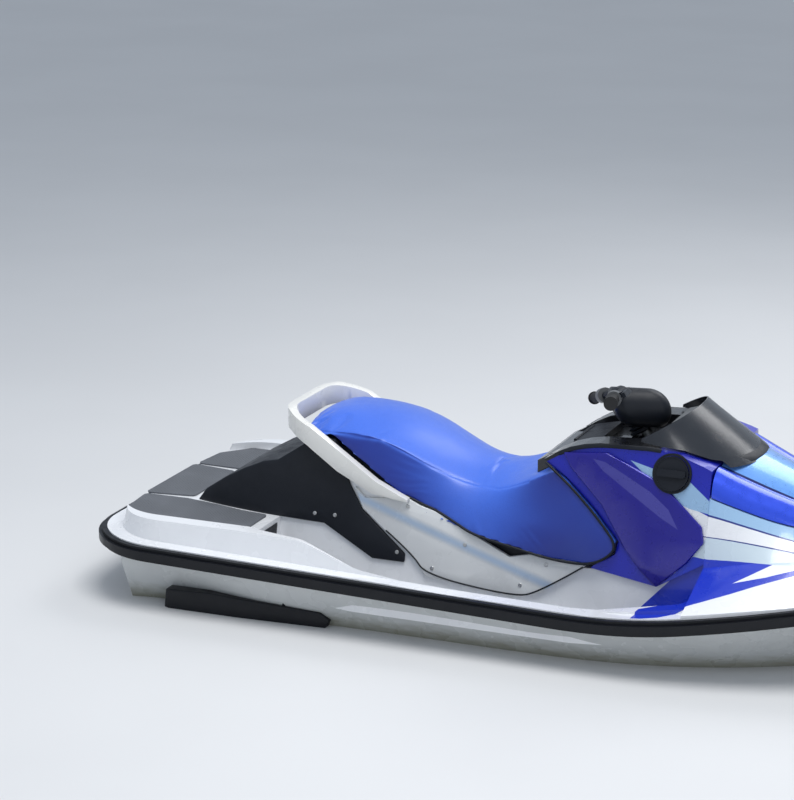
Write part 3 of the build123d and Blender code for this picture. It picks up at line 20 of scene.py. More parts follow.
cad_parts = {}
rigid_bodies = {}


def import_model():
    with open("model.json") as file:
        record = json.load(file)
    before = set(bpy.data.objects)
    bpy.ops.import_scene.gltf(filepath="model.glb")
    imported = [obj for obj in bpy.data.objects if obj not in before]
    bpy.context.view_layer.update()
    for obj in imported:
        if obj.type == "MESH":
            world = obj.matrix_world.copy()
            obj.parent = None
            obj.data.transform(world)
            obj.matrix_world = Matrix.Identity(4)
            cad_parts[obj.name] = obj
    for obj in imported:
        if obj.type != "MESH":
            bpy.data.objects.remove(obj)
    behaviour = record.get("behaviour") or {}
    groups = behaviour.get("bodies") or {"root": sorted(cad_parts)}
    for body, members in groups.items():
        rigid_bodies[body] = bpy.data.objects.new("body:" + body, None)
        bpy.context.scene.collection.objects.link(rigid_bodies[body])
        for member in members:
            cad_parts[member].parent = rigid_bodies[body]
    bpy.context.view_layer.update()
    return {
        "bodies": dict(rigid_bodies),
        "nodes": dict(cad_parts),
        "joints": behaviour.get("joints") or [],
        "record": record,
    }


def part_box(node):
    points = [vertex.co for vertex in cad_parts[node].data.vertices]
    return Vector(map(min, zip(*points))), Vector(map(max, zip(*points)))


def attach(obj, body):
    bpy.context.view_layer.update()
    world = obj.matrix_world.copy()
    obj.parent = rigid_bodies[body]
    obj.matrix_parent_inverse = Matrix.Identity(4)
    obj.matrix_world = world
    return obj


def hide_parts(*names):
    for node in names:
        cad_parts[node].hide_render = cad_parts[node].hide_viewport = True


LOG = logging.getLogger("watercraft")
SHELL_WELD = 0.00005
STRIP_WELD = 0.00002
FACES_UP = 0.95

Point = tuple[float, float, float]
Pair = tuple[float, float]
Colour = tuple[float, float, float]
Body = bpy.types.Object
Socket = bpy.types.NodeSocket


class Side(Enum):
    """Which side of the centreline a piece sits on."""

    STARBOARD = -1
    PORT = 1

    @property
    def word(self) -> str:
        """The side's name, as the pieces carry it."""
        return self.name.lower()


# ---- selecting, copying and placing meshes ----


def clear_selection() -> None:
    """Leaves edit mode and deselects every object."""
    if bpy.context.mode != "OBJECT":
        bpy.ops.object.mode_set(mode="OBJECT")
    bpy.ops.object.select_all(action="DESELECT")


def take(piece: Body) -> None:
    """Makes one object the only selected and the active one.

    Args:
        piece: The object to take.
    """
    clear_selection()
    piece.select_set(True)
    bpy.context.view_layer.objects.active = piece


def select_faces(piece: Body, test: Callable[[Vector, Vector], bool]) -> None:
    """Opens a piece for editing with the faces that pass a test selected.

    Args:
        piece: The mesh to edit.
        test: Takes a face's centre and normal and says whether to select it.
    """
    take(piece)
    bpy.ops.object.mode_set(mode="EDIT")
    bpy.ops.mesh.select_mode(type="FACE")
    bpy.ops.mesh.select_all(action="DESELECT")
    bpy.ops.object.mode_set(mode="OBJECT")
    for face in piece.data.polygons:
        face.select = test(face.center, face.normal)
    bpy.ops.object.mode_set(mode="EDIT")


def use_modifier(piece: Body, kind: str, **settings: object) -> None:
    """Adds a modifier to a piece and applies it.

    Args:
        piece: The mesh to shape.
        kind: The modifier's type.
        settings: The modifier's own settings by name.
    """
    take(piece)
    added = piece.modifiers.new(kind.title(), kind)
    for key, value in settings.items():
        setattr(added, key, value)
    bpy.ops.object.modifier_apply(modifier=added.name)


def smooth(piece: Body, angle: float = 35.0) -> None:
    """Shades a piece smooth, but keeps edges sharper than the angle."""
    take(piece)
    bpy.ops.object.shade_smooth_by_angle(angle=math.radians(angle))


def face_outward(piece: Body, weld: float = 0.0) -> None:
    """Turns every face of a piece outward.

    Args:
        piece: The mesh to correct.
        weld: Points that lie closer together than this are merged first.
    """
    take(piece)
    bpy.ops.object.mode_set(mode="EDIT")
    bpy.ops.mesh.select_all(action="SELECT")
    if weld:
        bpy.ops.mesh.remove_doubles(threshold=weld)
    bpy.ops.mesh.normals_make_consistent(inside=False)
    bpy.ops.object.mode_set(mode="OBJECT")


def add_object(name: str, data: bpy.types.ID) -> Body:
    """Adds an object to the scene.

    Args:
        name: The object's name.
        data: Its mesh, curve, camera or light.

    Returns:
        The new object, at the origin.
    """
    made = bpy.data.objects.new(name, data)
    bpy.context.scene.collection.objects.link(made)
    return made


def sketch(
    name: str, points: Sequence[Vector], edges: Sequence[tuple], faces: Sequence[tuple]
) -> Body:
    """Makes a piece from a few points.

    Args:
        name: The piece's name.
        points: The corners.
        edges: Pairs of corner numbers.
        faces: Rings of corner numbers.

    Returns:
        The new mesh object.
    """
    mesh = bpy.data.meshes.new(name)
    mesh.from_pydata(points, edges, faces)
    return add_object(name, mesh)


def copy_of(source: Body, name: str) -> Body:
    """Returns a merged copy of a mesh object, with its own mesh.

    Args:
        source: The object to copy, which stays as it is.
        name: The new object's name.

    Returns:
        The copy, with its doubled points merged.
    """
    made = add_object(name, source.data.copy())
    face_outward(made, SHELL_WELD)
    return made


def stand_on(normal: Vector, foot: Vector) -> Matrix:
    """Returns the matrix that stands a Z-up mesh on a surface point."""
    turn = normal.to_track_quat("Z", "Y").to_matrix().to_4x4()
    return Matrix.Translation(foot) @ turn


class Skin:
    """Finds points on the surface of one or more nodes."""

    def __init__(self, *nodes: Body) -> None:
        """Reads the nodes' meshes into one search tree.

        Args:
            nodes: The nodes to search.
        """
        corners: list[Vector] = []
        faces: list[list[int]] = []
        for node in nodes:
            start = len(corners)
            corners += [v.co.copy() for v in node.data.vertices]
            faces += [[start + i for i in p.vertices] for p in node.data.polygons]
        self.tree = BVHTree.FromPolygons(corners, faces)

    def beside(self, x: float, z: float, side: Side, reach: float = 1.0) -> tuple[Vector, Vector]:
        """Finds the outermost point at a place seen from the side.

        Args:
            x: The place along the craft.
            z: The place's height.
            side: The side to look from.
            reach: How far out to look from.

        Returns:
            The point and the surface's normal there, or the nearest ones.
        """
        start = Vector((x, side.value * reach, z))
        hit, normal, _, _ = self.tree.ray_cast(start, Vector((0, -side.value, 0)))
        if hit is None:
            hit, normal, _, _ = self.tree.find_nearest(Vector((x, start.y / 4, z)))
        return hit, normal

    def above(self, x: float, y: float, reach: float = 2.0) -> tuple[Vector, Vector]:
        """Finds the highest point at a place seen from above.

        Args:
            x: The place along the craft.
            y: The place across it.
            reach: The height to look down from.

        Returns:
            The point and the surface's normal there, or the nearest ones.
        """
        hit, normal, _, _ = self.tree.ray_cast(Vector((x, y, reach)), Vector((0, 0, -1)))
        if hit is None:
            hit, normal, _, _ = self.tree.find_nearest(Vector((x, y, reach / 4)))
        return hit, normal


def swept(name: str, points: Sequence[Vector], width: float, height: float) -> Body:
    """Makes a strip of rounded section along a smooth line through points.

    Args:
        name: The piece's name.
        points: The centre line.
        width: The section's size across.
        height: The section's size out of the surface.

    Returns:
        The finished mesh object.
    """
    line = bpy.data.curves.new(name, "CURVE")
    line.dimensions = "3D"
    run = line.splines.new("NURBS")
    run.points.add(len(points) - 1)
    for knot, point in zip(run.points, points):
        knot.co = (*point, 1.0)
    run.order_u = 3
    run.use_endpoint_u = True
    line.bevel_depth = height / 2
    line.bevel_resolution = 3
    line.use_fill_caps = True
    line.extrude = max(0.0, (width - height) / 2)
    take(add_object(name, line))
    bpy.ops.object.convert(target="MESH")
    made = bpy.context.view_layer.objects.active
    made.name = name
    face_outward(made, STRIP_WELD)
    smooth(made, 50)
    return made


# ---- finishes ----

FILM = (0.21, 0.20, 0.12)
STREAK = (0.36, 0.35, 0.28)
DUST = (0.45, 0.43, 0.38)
# pale blue of the painted reflection that runs along the side panels' crease
CREASE_REFLECTION = (0.44, 0.64, 0.92)
DIAGONAL = 0.7071


class Shade:
    """One node material, built a socket at a time."""

    def __init__(self, name: str) -> None:
        """Makes an empty material with a shader, an output and coordinates.

        Args:
            name: The material's name.
        """
        self.material = bpy.data.materials.new(name)
        self.material.use_nodes = True
        self.tree = self.material.node_tree
        self.tree.nodes.clear()
        self.shader = self.node("ShaderNodeBsdfPrincipled")
        out = self.node("ShaderNodeOutputMaterial")
        self.tree.links.new(self.shader.outputs["BSDF"], out.inputs["Surface"])
        self.place = self.node("ShaderNodeTexCoord").outputs["Object"]
        self.relief: Socket | None = None

    def node(self, kind: str, feeds: dict | None = None, **settings: object) -> bpy.types.Node:
        """Adds a node, sets its options and feeds its sockets.

        Args:
            kind: The node's type.
            feeds: Values or sockets by input name or number.
            settings: The node's own options.

        Returns:
            The new node.
        """
        made = self.tree.nodes.new(kind)
        for key, value in settings.items():
            setattr(made, key, value)
        for key, value in (feeds or {}).items():
            self.feed(made.inputs[key], value)
        return made

    def feed(self, socket: Socket, value: object) -> None:
        """Links a socket to another, or gives it a constant.

        Args:
            socket: The input to feed.
            value: An output socket, a number, or a colour of three numbers.
        """
        if isinstance(value, bpy.types.NodeSocket):
            self.tree.links.new(value, socket)
        elif isinstance(value, tuple) and len(value) == 3 and socket.type == "RGBA":
            socket.default_value = (*value, 1.0)
        else:
            socket.default_value = value

    def put(self, **feeds: object) -> None:
        """Feeds the shader's own sockets, with underscores for spaces."""
        for key, value in feeds.items():
            self.feed(self.shader.inputs[key.replace("_", " ")], value)

    def calc(self, kind: str, first: object, second: object = 0.0, third: object = 0.0) -> Socket:
        """Returns the result of one Math node."""
        feeds = {0: first, 1: second, 2: third}
        return self.node("ShaderNodeMath", feeds, operation=kind).outputs[0]

    def ramp(
        self, value: Socket, start: float, end: float, low: float = 0.0, high: float = 1.0
    ) -> Socket:
        """Eases a value from one level to another.

        Args:
            value: The value to ease.
            start: Where the easing starts.
            end: Where it ends.
            low: The result at the start.
            high: The result at the end.

        Returns:
            The eased value.
        """
        feeds = {"Value": value, "From Min": start, "From Max": end, "To Min": low, "To Max": high}
        made = self.node("ShaderNodeMapRange", feeds, interpolation_type="SMOOTHSTEP")
        return made.outputs[0]

    def noise(self, scale: float, detail: float = 3.0, stretch: Point = (1, 1, 1)) -> Socket:
        """Adds fractal noise over the object coordinates.

        Args:
            scale: How fine the noise is.
            detail: How many octaves it has.
            stretch: How much finer it is along each axis.

        Returns:
            The noise, about 0.5 in the middle.
        """
        where = self.node("ShaderNodeMapping", {"Vector": self.place, "Scale": stretch}).outputs[0]
        feeds = {"Vector": where, "Scale": scale, "Detail": detail}
        return self.node("ShaderNodeTexNoise", feeds).outputs["Fac"]

    def cells(self, scale: float, feature: str = "F1") -> Socket:
        """Adds a cell pattern over the object coordinates.

        Args:
            scale: How fine the cells are.
            feature: Which distance to measure, by the node's own name.

        Returns:
            The distance field of the cells.
        """
        feeds = {"Vector": self.place, "Scale": scale}
        made = self.node("ShaderNodeTexVoronoi", feeds, feature=feature)
        return made.outputs["Distance"]

    def mix(self, share: object, first: object, second: object) -> Socket:
        """Mixes two colours.

        Args:
            share: How much of the second there is.
            first: The first colour.
            second: The second colour.

        Returns:
            The mixed colour.
        """
        made = self.node("ShaderNodeMix", data_type="RGBA")
        for slot, value in ((0, share), (6, first), (7, second)):
            self.feed(made.inputs[slot], value)
        return made.outputs[2]

    def axis(self, name: str) -> Socket:
        """Returns one of the object coordinates, X, Y or Z."""
        return self.node("ShaderNodeSeparateXYZ", {0: self.place}).outputs[name]

    def bump(self, height: Socket, depth: float, strength: float = 1.0) -> None:
        """Raises the surface by a height pattern, over any earlier relief.

        Args:
            height: The pattern.
            depth: How high the relief stands.
            strength: How much of it shows.
        """
        feeds = {"Height": height, "Distance": depth, "Strength": strength}
        if self.relief is not None:
            feeds["Normal"] = self.relief
        self.relief = self.node("ShaderNodeBump", feeds).outputs[0]
        self.put(Normal=self.relief)

    def spread(self) -> Socket:
        """Returns x and height less distance from the centreline, as a vector."""
        rise = self.calc("SUBTRACT", self.axis("Z"), self.calc("ABSOLUTE", self.axis("Y")))
        return self.node("ShaderNodeCombineXYZ", {0: self.axis("X"), 1: rise}).outputs[0]

    def beyond(self, flat: Socket, start: Pair, end: Pair) -> Socket:
        """Measures how far a flat place lies to the left of a line.

        Args:
            flat: The place, as a vector of two coordinates.
            start: Where the line starts.
            end: Where it ends.

        Returns:
            The distance, below 0 to the right of the line.
        """
        run, climb = end[0] - start[0], end[1] - start[1]
        length = math.hypot(run, climb)
        inward = (-climb / length, run / length, 0.0)
        offset = -(inward[0] * start[0] + inward[1] * start[1])
        dot = self.node("ShaderNodeVectorMath", {0: flat, 1: inward}, operation="DOT_PRODUCT")
        return self.calc("ADD", dot.outputs["Value"], offset)


@dataclass(frozen=True)
class Decal:
    """A flat patch of colour made of convex outlines.

    The corners are pairs of x and of height less the distance from the
    centreline, which spreads the sloping flank out flat. They run
    anticlockwise. The paint laps over its outline a little, so that patches
    that share a line leave no seam, and fades out over the edge beyond it.
    """

    colour: Colour
    outlines: tuple[tuple[Pair, ...], ...]
    edge: float = 0.0012
    lap: float = 0.0004

    def share(self, shade: Shade) -> Socket:
        """Works out where the patch lies.

        Args:
            shade: The material that the patch is painted in.

        Returns:
            A socket that is 1 inside the patch and 0 outside.
        """
        flat = shade.spread()
        union = None
        for outline in self.outlines:
            inside = None
            for start, end in zip(outline, outline[1:] + outline[:1]):
                depth = shade.beyond(flat, start, end)
                inside = depth if inside is None else shade.calc("MINIMUM", inside, depth)
            union = inside if union is None else shade.calc("MAXIMUM", union, inside)
        return shade.ramp(union, -self.edge - self.lap, -self.lap)


@dataclass(frozen=True)
class Groove:
    """A mirrored pair of lines seen from above, with other paint outboard.

    The start and the end are pairs of x and of distance from the centreline.
    """

    start: Pair
    end: Pair
    outer: Colour
    line: Colour
    width: float = 0.008
    edge: float = 0.001

    def paint(self, shade: Shade, colour: object) -> Socket:
        """Lays the outboard paint and the line over a colour.

        Args:
            shade: The material to paint in.
            colour: What lies under the paint.

        Returns:
            The painted colour.
        """
        across = shade.calc("ABSOLUTE", shade.axis("Y"))
        flat = shade.node("ShaderNodeCombineXYZ", {0: shade.axis("X"), 1: across}).outputs[0]
        away = shade.beyond(flat, self.start, self.end)
        colour = shade.mix(shade.ramp(away, -self.edge, self.edge), colour, self.outer)
        half, distance = self.width / 2, shade.calc("ABSOLUTE", away)
        near = shade.ramp(distance, half + self.edge, half - self.edge)
        return shade.mix(near, colour, self.line)


@dataclass(frozen=True)
class Gelcoat:
    """Glossy moulded skin with faint mottling, dust and painted decals.

    A skin that is afloat carries a film and streaks near the waterline. A
    crease is a line that the skin below it steps back from, with a painted reflection in pale blue
    along it.
    """

    name: str
    colour: Colour
    decals: tuple[Decal, ...] = ()
    afloat: bool = False
    crease: tuple[Pair, Pair] | None = None

    def build(self) -> bpy.types.Material:
        """Builds the material.

        Returns:
            The finished material.
        """
        shade = Shade(self.name)
        mottle = shade.ramp(shade.noise(3.5, 4), 0.35, 0.75)
        dark = tuple(c * 0.93 for c in self.colour)
        colour: object = shade.mix(mottle, self.colour, dark)
        for decal in self.decals:
            colour = shade.mix(decal.share(shade), colour, decal.colour)
        if self.afloat:
            edge = shade.calc("MULTIPLY_ADD", shade.noise(22, 5, (1, 1, 3)), 0.05, 0.0)
            height = shade.calc("SUBTRACT", shade.axis("Z"), edge)
            film = shade.ramp(height, 0.045, -0.03, 0.0, 0.75)
            colour = shade.mix(film, colour, FILM)
            streaks = shade.ramp(shade.noise(30, 3, (6, 6, 0.5)), 0.62, 0.8, 0.0, 0.22)
            colour = shade.mix(streaks, colour, STREAK)
        # painted reflection: a pale blue band eased in along the crease line, strongest on it
        if self.crease:
            away = shade.calc("ABSOLUTE", shade.beyond(shade.spread(), *self.crease))
            colour = shade.mix(shade.ramp(away, 0.024, 0.0, 0.0, 0.6), colour, CREASE_REFLECTION)
        dust = shade.ramp(shade.noise(60, 4, (1, 3, 1)), 0.55, 0.85, 0.0, 0.05)
        shade.put(Base_Color=shade.mix(dust, colour, DUST))
        shade.put(Roughness=shade.ramp(shade.noise(9, 4), 0.3, 0.7, 0.22, 0.34))
        shade.put(Coat_Weight=0.5, Coat_Roughness=0.08, IOR=1.5)
        shade.bump(shade.noise(14, 2), 0.0004, 0.5)
        if self.crease:
            step = shade.ramp(shade.beyond(shade.spread(), *self.crease), -0.026, 0.026)
            shade.bump(step, 0.007)
        return shade.material


@dataclass(frozen=True)
class Metallic:
    """Candy paint: fine flake under a clear coat, with painted decals and, on the knee panels, a
    painted highlight.
    """

    name: str
    colour: Colour
    flake: Colour
    decals: tuple[Decal, ...] = ()
    groove: Groove | None = None

    def build(self) -> bpy.types.Material:
        """Builds the material.

        Returns:
            The finished material.
        """
        shade = Shade(self.name)
        speck = shade.ramp(shade.cells(1400), 0.1, 0.5, 0.35, 0.0)
        colour: object = shade.mix(speck, self.colour, self.flake)
        cloud = shade.ramp(shade.noise(4, 3), 0.3, 0.8, 0.0, 0.25)
        colour = shade.mix(cloud, colour, self.flake)
        for decal in self.decals:
            colour = shade.mix(decal.share(shade), colour, decal.colour)
        if self.groove:
            colour = self.groove.paint(shade, colour)
        shade.put(Base_Color=colour, Metallic=0.35, IOR=1.5)
        shade.put(Roughness=shade.ramp(shade.noise(40, 3), 0.3, 0.7, 0.26, 0.34))
        shade.put(Coat_Weight=0.7, Coat_Roughness=0.05, Specular_IOR_Level=0.4)
        shade.bump(shade.noise(18, 2), 0.0003, 0.4)
        return shade.material


class Grain(Enum):
    """The fine relief that a moulded part carries."""

    SATIN = (90.0, 0.0002)
    LEATHERY = (520.0, 0.0004)
    SCUFFED = (60.0, 0.0005)


@dataclass(frozen=True)
class Moulded:
    """Plastic or rubber with a moulded grain and worn, dusty patches."""

    name: str
    colour: Colour
    rough: float
    grain: Grain = Grain.LEATHERY
    worn: float = 0.25

    def build(self) -> bpy.types.Material:
        """Builds the material.

        Returns:
            The finished material.
        """
        shade = Shade(self.name)
        scale, depth = self.grain.value
        pale = tuple(min(1.0, c * 1.4 + 0.010) for c in self.colour)
        wear = shade.ramp(shade.noise(7, 5), 0.45, 0.8, 0.0, self.worn)
        shade.put(Base_Color=shade.mix(wear, self.colour, pale))
        rough = shade.ramp(shade.noise(25, 4), 0.3, 0.75, self.rough - 0.07, self.rough + 0.09)
        shade.put(Roughness=rough, IOR=1.48, Specular_IOR_Level=0.32)
        shade.bump(shade.cells(scale), depth, 0.6)
        return shade.material


@dataclass(frozen=True)
class Matting:
    """Foam deck mat with fine crossed grooves, painted darker in the grooves as shade."""

    name: str
    colour: Colour
    pitch: float = 0.009

    def build(self) -> bpy.types.Material:
        """Builds the material.

        Returns:
            The finished material.
        """
        shade = Shade(self.name)
        turns = 2 * math.pi / self.pitch
        ridge = None
        for sign in (1.0, -1.0):
            along = shade.calc("MULTIPLY_ADD", shade.axis("Y"), sign, shade.axis("X"))
            wave = shade.calc("SINE", shade.calc("MULTIPLY", along, turns * DIAGONAL))
            lift = shade.ramp(wave, -1.0, -0.55)
            ridge = lift if ridge is None else shade.calc("MINIMUM", ridge, lift)
        # painted shade: the grooves take a darker copy of the mat's colour
        low = tuple(c * 0.72 for c in self.colour)
        dust = shade.ramp(shade.noise(11, 5), 0.4, 0.8, 0.0, 0.3)
        colour = shade.mix(ridge, low, self.colour)
        shade.put(Base_Color=shade.mix(dust, colour, tuple(c * 1.45 for c in self.colour)))
        shade.put(Roughness=0.86)
        shade.bump(ridge, 0.0009, 0.8)
        return shade.material


@dataclass(frozen=True)
class Vinyl:
    """Upholstery vinyl with a pebbled leather grain and a soft sheen, painted lighter on top and
    darker on its sides and in the grain's creases, as light and shade.
    """

    name: str
    # top and side: the vinyl as painted lit from above and as painted in shade
    top: Colour
    side: Colour

    def build(self) -> bpy.types.Material:
        """Builds the material.

        Returns:
            The finished material.
        """
        shade = Shade(self.name)
        normal = shade.node("ShaderNodeNewGeometry").outputs["Normal"]
        upward = shade.node("ShaderNodeSeparateXYZ", {0: normal}).outputs["Z"]
        # painted light and shade: faces that point up take the lit top colour, steep faces the
        # shaded side colour
        painted_light_share = shade.ramp(upward, 0.1, 0.75)
        colour = shade.mix(painted_light_share, self.side, self.top)
        tone = shade.ramp(shade.noise(5, 4), 0.3, 0.75, 0.0, 0.16)
        colour = shade.mix(tone, colour, tuple(c * 0.6 for c in self.top))
        crease = shade.ramp(shade.cells(330, "DISTANCE_TO_EDGE"), 0.0, 0.16)
        # painted shade: the grain's creases are mixed a quarter of the way to the shaded side
        # colour
        shade.put(Base_Color=shade.mix(crease, shade.mix(0.25, colour, self.side), colour))
        shade.put(Roughness=shade.ramp(shade.noise(30, 3), 0.3, 0.7, 0.36, 0.46), IOR=1.45)
        shade.put(Sheen_Weight=0.10, Sheen_Roughness=0.4, Coat_Weight=0.4, Coat_Roughness=0.26)
        shade.bump(crease, 0.00016, 0.5)
        return shade.material


@dataclass(frozen=True)
class Smoked:
    """Dark tinted acrylic for the windshield."""

    name: str
    tint: Colour

    def build(self) -> bpy.types.Material:
        """Builds the material.

        Returns:
            The finished material.
        """
        shade = Shade(self.name)
        haze = shade.ramp(shade.noise(12, 4), 0.4, 0.8, 0.20, 0.30)
        light = tuple(c * 1.3 for c in self.tint)
        shade.put(Base_Color=shade.mix(shade.noise(5, 3), self.tint, light))
        shade.put(Roughness=haze, IOR=1.49, Transmission_Weight=0.35, Coat_Weight=0.12)
        shade.put(Coat_Roughness=0.16, Specular_IOR_Level=0.35)
        return shade.material


@dataclass(frozen=True)
class Alloy:
    """Cast or rolled metal with a slight tarnish."""

    name: str
    colour: Colour
    rough: float
    cast: bool = True

    def build(self) -> bpy.types.Material:
        """Builds the material.

        Returns:
            The finished material.
        """
        shade = Shade(self.name)
        stain = shade.ramp(shade.noise(14, 5), 0.4, 0.75, 0.0, 0.5)
        shade.put(Base_Color=shade.mix(stain, self.colour, tuple(c * 0.55 for c in self.colour)))
        low, high = self.rough - 0.08, self.rough + 0.12
        shade.put(Metallic=1.0, Roughness=shade.ramp(shade.noise(35, 4), 0.3, 0.7, low, high))
        scale, depth = (260, 0.0004) if self.cast else (90, 0.0001)
        shade.bump(shade.noise(scale, 3), depth, 0.6)
        return shade.material


DECK_WHITE = (0.84, 0.85, 0.87)
SILVER_BLUE = (0.33, 0.52, 0.74)
ROYAL_BLUE = (0.010, 0.035, 0.50)
NAVY_LINE = (0.012, 0.025, 0.22)
PALE_BLUE = (0.58, 0.68, 0.74)

WEDGE = Decal(
    ROYAL_BLUE,
    (
        ((0.180, -0.250), (0.463, -0.250), (0.463, 0.003), (0.414, 0.012)),
        (
            (0.300, -0.362), (0.332, -0.357), (0.377, -0.337), (0.463, -0.257),
            (0.463, -0.172), (0.306, -0.290),
        ),
        ((0.463, -0.257), (0.569, -0.175), (0.560, -0.119), (0.463, 0.003)),
        ((0.463, 0.003), (0.560, -0.119), (0.662, 0.002)),
        ((0.569, -0.175), (0.647, -0.110), (0.655, -0.070), (0.560, -0.119)),
        ((0.647, -0.110), (0.736, -0.040), (0.732, -0.015), (0.655, -0.070)),
        ((0.736, -0.040), (1.12, 0.100), (0.732, -0.015)),
    ),
)
PALE_PATCH = Decal(
    PALE_BLUE,
    (((0.40, 0.005), (0.662, 0.002), (1.10, 0.062), (0.717, 0.074), (0.456, 0.086)),),
)
THIN_LINE = Decal(
    NAVY_LINE,
    (((0.40, 0.086), (0.717, 0.071), (1.13, 0.060), (1.13, 0.062), (0.717, 0.076), (0.40, 0.092)),),
)
BAND = (
    (0.440, 0.168), (0.547, 0.151), (0.636, 0.140), (0.708, 0.133), (0.880, 0.138),
    (1.050, 0.165), (1.250, 0.225), (1.400, 0.300), (0.440, 0.300),
)
SILVER_BAND = Decal(SILVER_BLUE, (BAND,))
BAND_LINE = Decal(NAVY_LINE, (tuple((x, z - 0.007) for x, z in BAND),))
COWL_BAND = Decal(
    SILVER_BLUE,
    (
        (
            (0.196, 0.331), (0.326, 0.209), (0.392, 0.179), (0.455, 0.165), (0.455, 0.205),
            (0.386, 0.271),
        ),
    ),
)
COWL_WHITE = Decal(
    DECK_WHITE,
    (((0.350, -0.050), (0.470, -0.050), (0.470, 0.168), (0.392, 0.184), (0.350, 0.204)),),
)
COCKPIT_EDGE = (
    (-0.200, 0.235), (-0.049, 0.326), (0.001, 0.360), (0.068, 0.379), (0.184, 0.381),
    (0.262, 0.377), (0.300, 0.458), (0.470, 0.458),
)
COCKPIT_TOP = 0.75
COCKPIT_BLACK = Decal(
    (0.010, 0.011, 0.014),
    tuple(
        (aft, fore, (fore[0], COCKPIT_TOP), (aft[0], COCKPIT_TOP))
        for aft, fore in zip(COCKPIT_EDGE, COCKPIT_EDGE[1:])
    ),
)
# painted highlight: a lighter streak across each knee panel, where light catches its fold
KNEE_HIGHLIGHT = Decal(
    (0.060, 0.056, 0.34),
    (
        (
            (0.077, 0.320), (0.109, 0.284), (0.302, 0.136), (0.359, 0.099), (0.326, 0.163),
            (0.264, 0.221), (0.164, 0.283), (0.114, 0.312),
        ),
    ),
)
HOOD_GROOVE = Groove((0.45, 0.168), (1.30, 0.050), (0.020, 0.075, 0.72), (0.008, 0.014, 0.12))
# the side panels' crease line, stepped in relief and carrying a painted reflection
SIDE_CREASE = ((-0.62, 0.080), (-0.13, -0.100))

Finish = Gelcoat | Metallic | Moulded | Matting | Vinyl | Smoked | Alloy
FINISHES: tuple[Finish, ...] = (
    # painted shade: the hull's white gelcoat is given a darker grey than the deck's white, for the
    # shade below the bumper
    Gelcoat("hull_gelcoat", (0.56, 0.58, 0.58), afloat=True),
    Gelcoat("deck_gelcoat", DECK_WHITE, (PALE_PATCH, THIN_LINE, BAND_LINE, SILVER_BAND, WEDGE)),
    Moulded("bumper_black", (0.005, 0.006, 0.009), 0.42, Grain.SATIN, 0.2),
    Moulded("trim_black", (0.007, 0.009, 0.014), 0.45, Grain.LEATHERY, 0.25),
    Matting("mat_grey", (0.125, 0.134, 0.150)),
    Gelcoat("panel_silver", (0.74, 0.75, 0.75), crease=SIDE_CREASE),
    # seat vinyl: a lit top colour and a shaded side colour, painted light and shade
    Vinyl("seat_vinyl", (0.048, 0.160, 0.74), (0.005, 0.022, 0.26)),
    Gelcoat("handle_white", (0.80, 0.79, 0.75)),
    Metallic(
        "cowl_blue",
        (0.005, 0.009, 0.34),
        (0.02, 0.04, 0.70),
        (COWL_WHITE, PALE_PATCH, THIN_LINE, WEDGE, COWL_BAND, COCKPIT_BLACK),
    ),
    Metallic("knee_blue", (0.009, 0.005, 0.24), (0.018, 0.012, 0.40), (KNEE_HIGHLIGHT,)),
    Metallic("hood_blue", (0.13, 0.34, 0.82), (0.38, 0.64, 0.95), groove=HOOD_GROOVE),
    Smoked("shield_smoke", (0.026, 0.030, 0.038)),
    Moulded("pod_grey", (0.085, 0.088, 0.092), 0.42, Grain.SATIN, 0.3),
    Alloy("pump_alloy", (0.42, 0.43, 0.43), 0.45),
    Alloy("steel", (0.62, 0.62, 0.61), 0.25, cast=False),
    Alloy("engine_iron", (0.12, 0.12, 0.12), 0.55),
    Moulded("grip_rubber", (0.016, 0.016, 0.017), 0.7, Grain.SCUFFED, 0.3),
)


class Paintshop:
    """Builds every finish once and hands it out by slot name."""

    def __init__(self) -> None:
        """Builds the materials."""
        self.made = {finish.name: finish.build() for finish in FINISHES}

    def dress_nodes(self, frame: dict) -> None:
        """Gives each CAD node the finish of its own material slot.
        """
        for row in frame["record"]["subparts"]:
            node = frame["nodes"][row["node"]]
            node.data.materials.clear()
            node.data.materials.append(self.made[row["material_slot"]])
        LOG.info("dressed %d CAD nodes", len(frame["nodes"]))

    def dress(self, piece: Body, slot: str) -> None:
        """Gives a new piece a finish and names its slot.

        Args:
            piece: The piece to dress.
            slot: The finish and material slot that it takes.
        """
        piece.data.materials.clear()
        piece.data.materials.append(self.made[slot])


# ---- pieces ----


@dataclass
class Fitting:
    """What every piece of the scene needs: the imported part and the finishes."""

    frame: dict
    shop: Paintshop

    def node(self, name: str) -> Body:
        """Returns one of the CAD nodes."""
        return self.frame["nodes"][name]

    def skin(self, *names: str) -> Skin:
        """Returns the surface of one or more CAD nodes."""
        return Skin(*(self.node(name) for name in names))

    def finish(self, piece: Body, slot: str, body: str) -> None:
        """Dresses a piece, lets it ride on a body and reports it.

        Args:
            piece: The finished mesh.
            slot: The finish and material slot that it takes.
            body: The body that it moves with.
        """
        self.shop.dress(piece, slot)
        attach(piece, body)
        LOG.info("%s: %d faces", piece.name, len(piece.data.polygons))


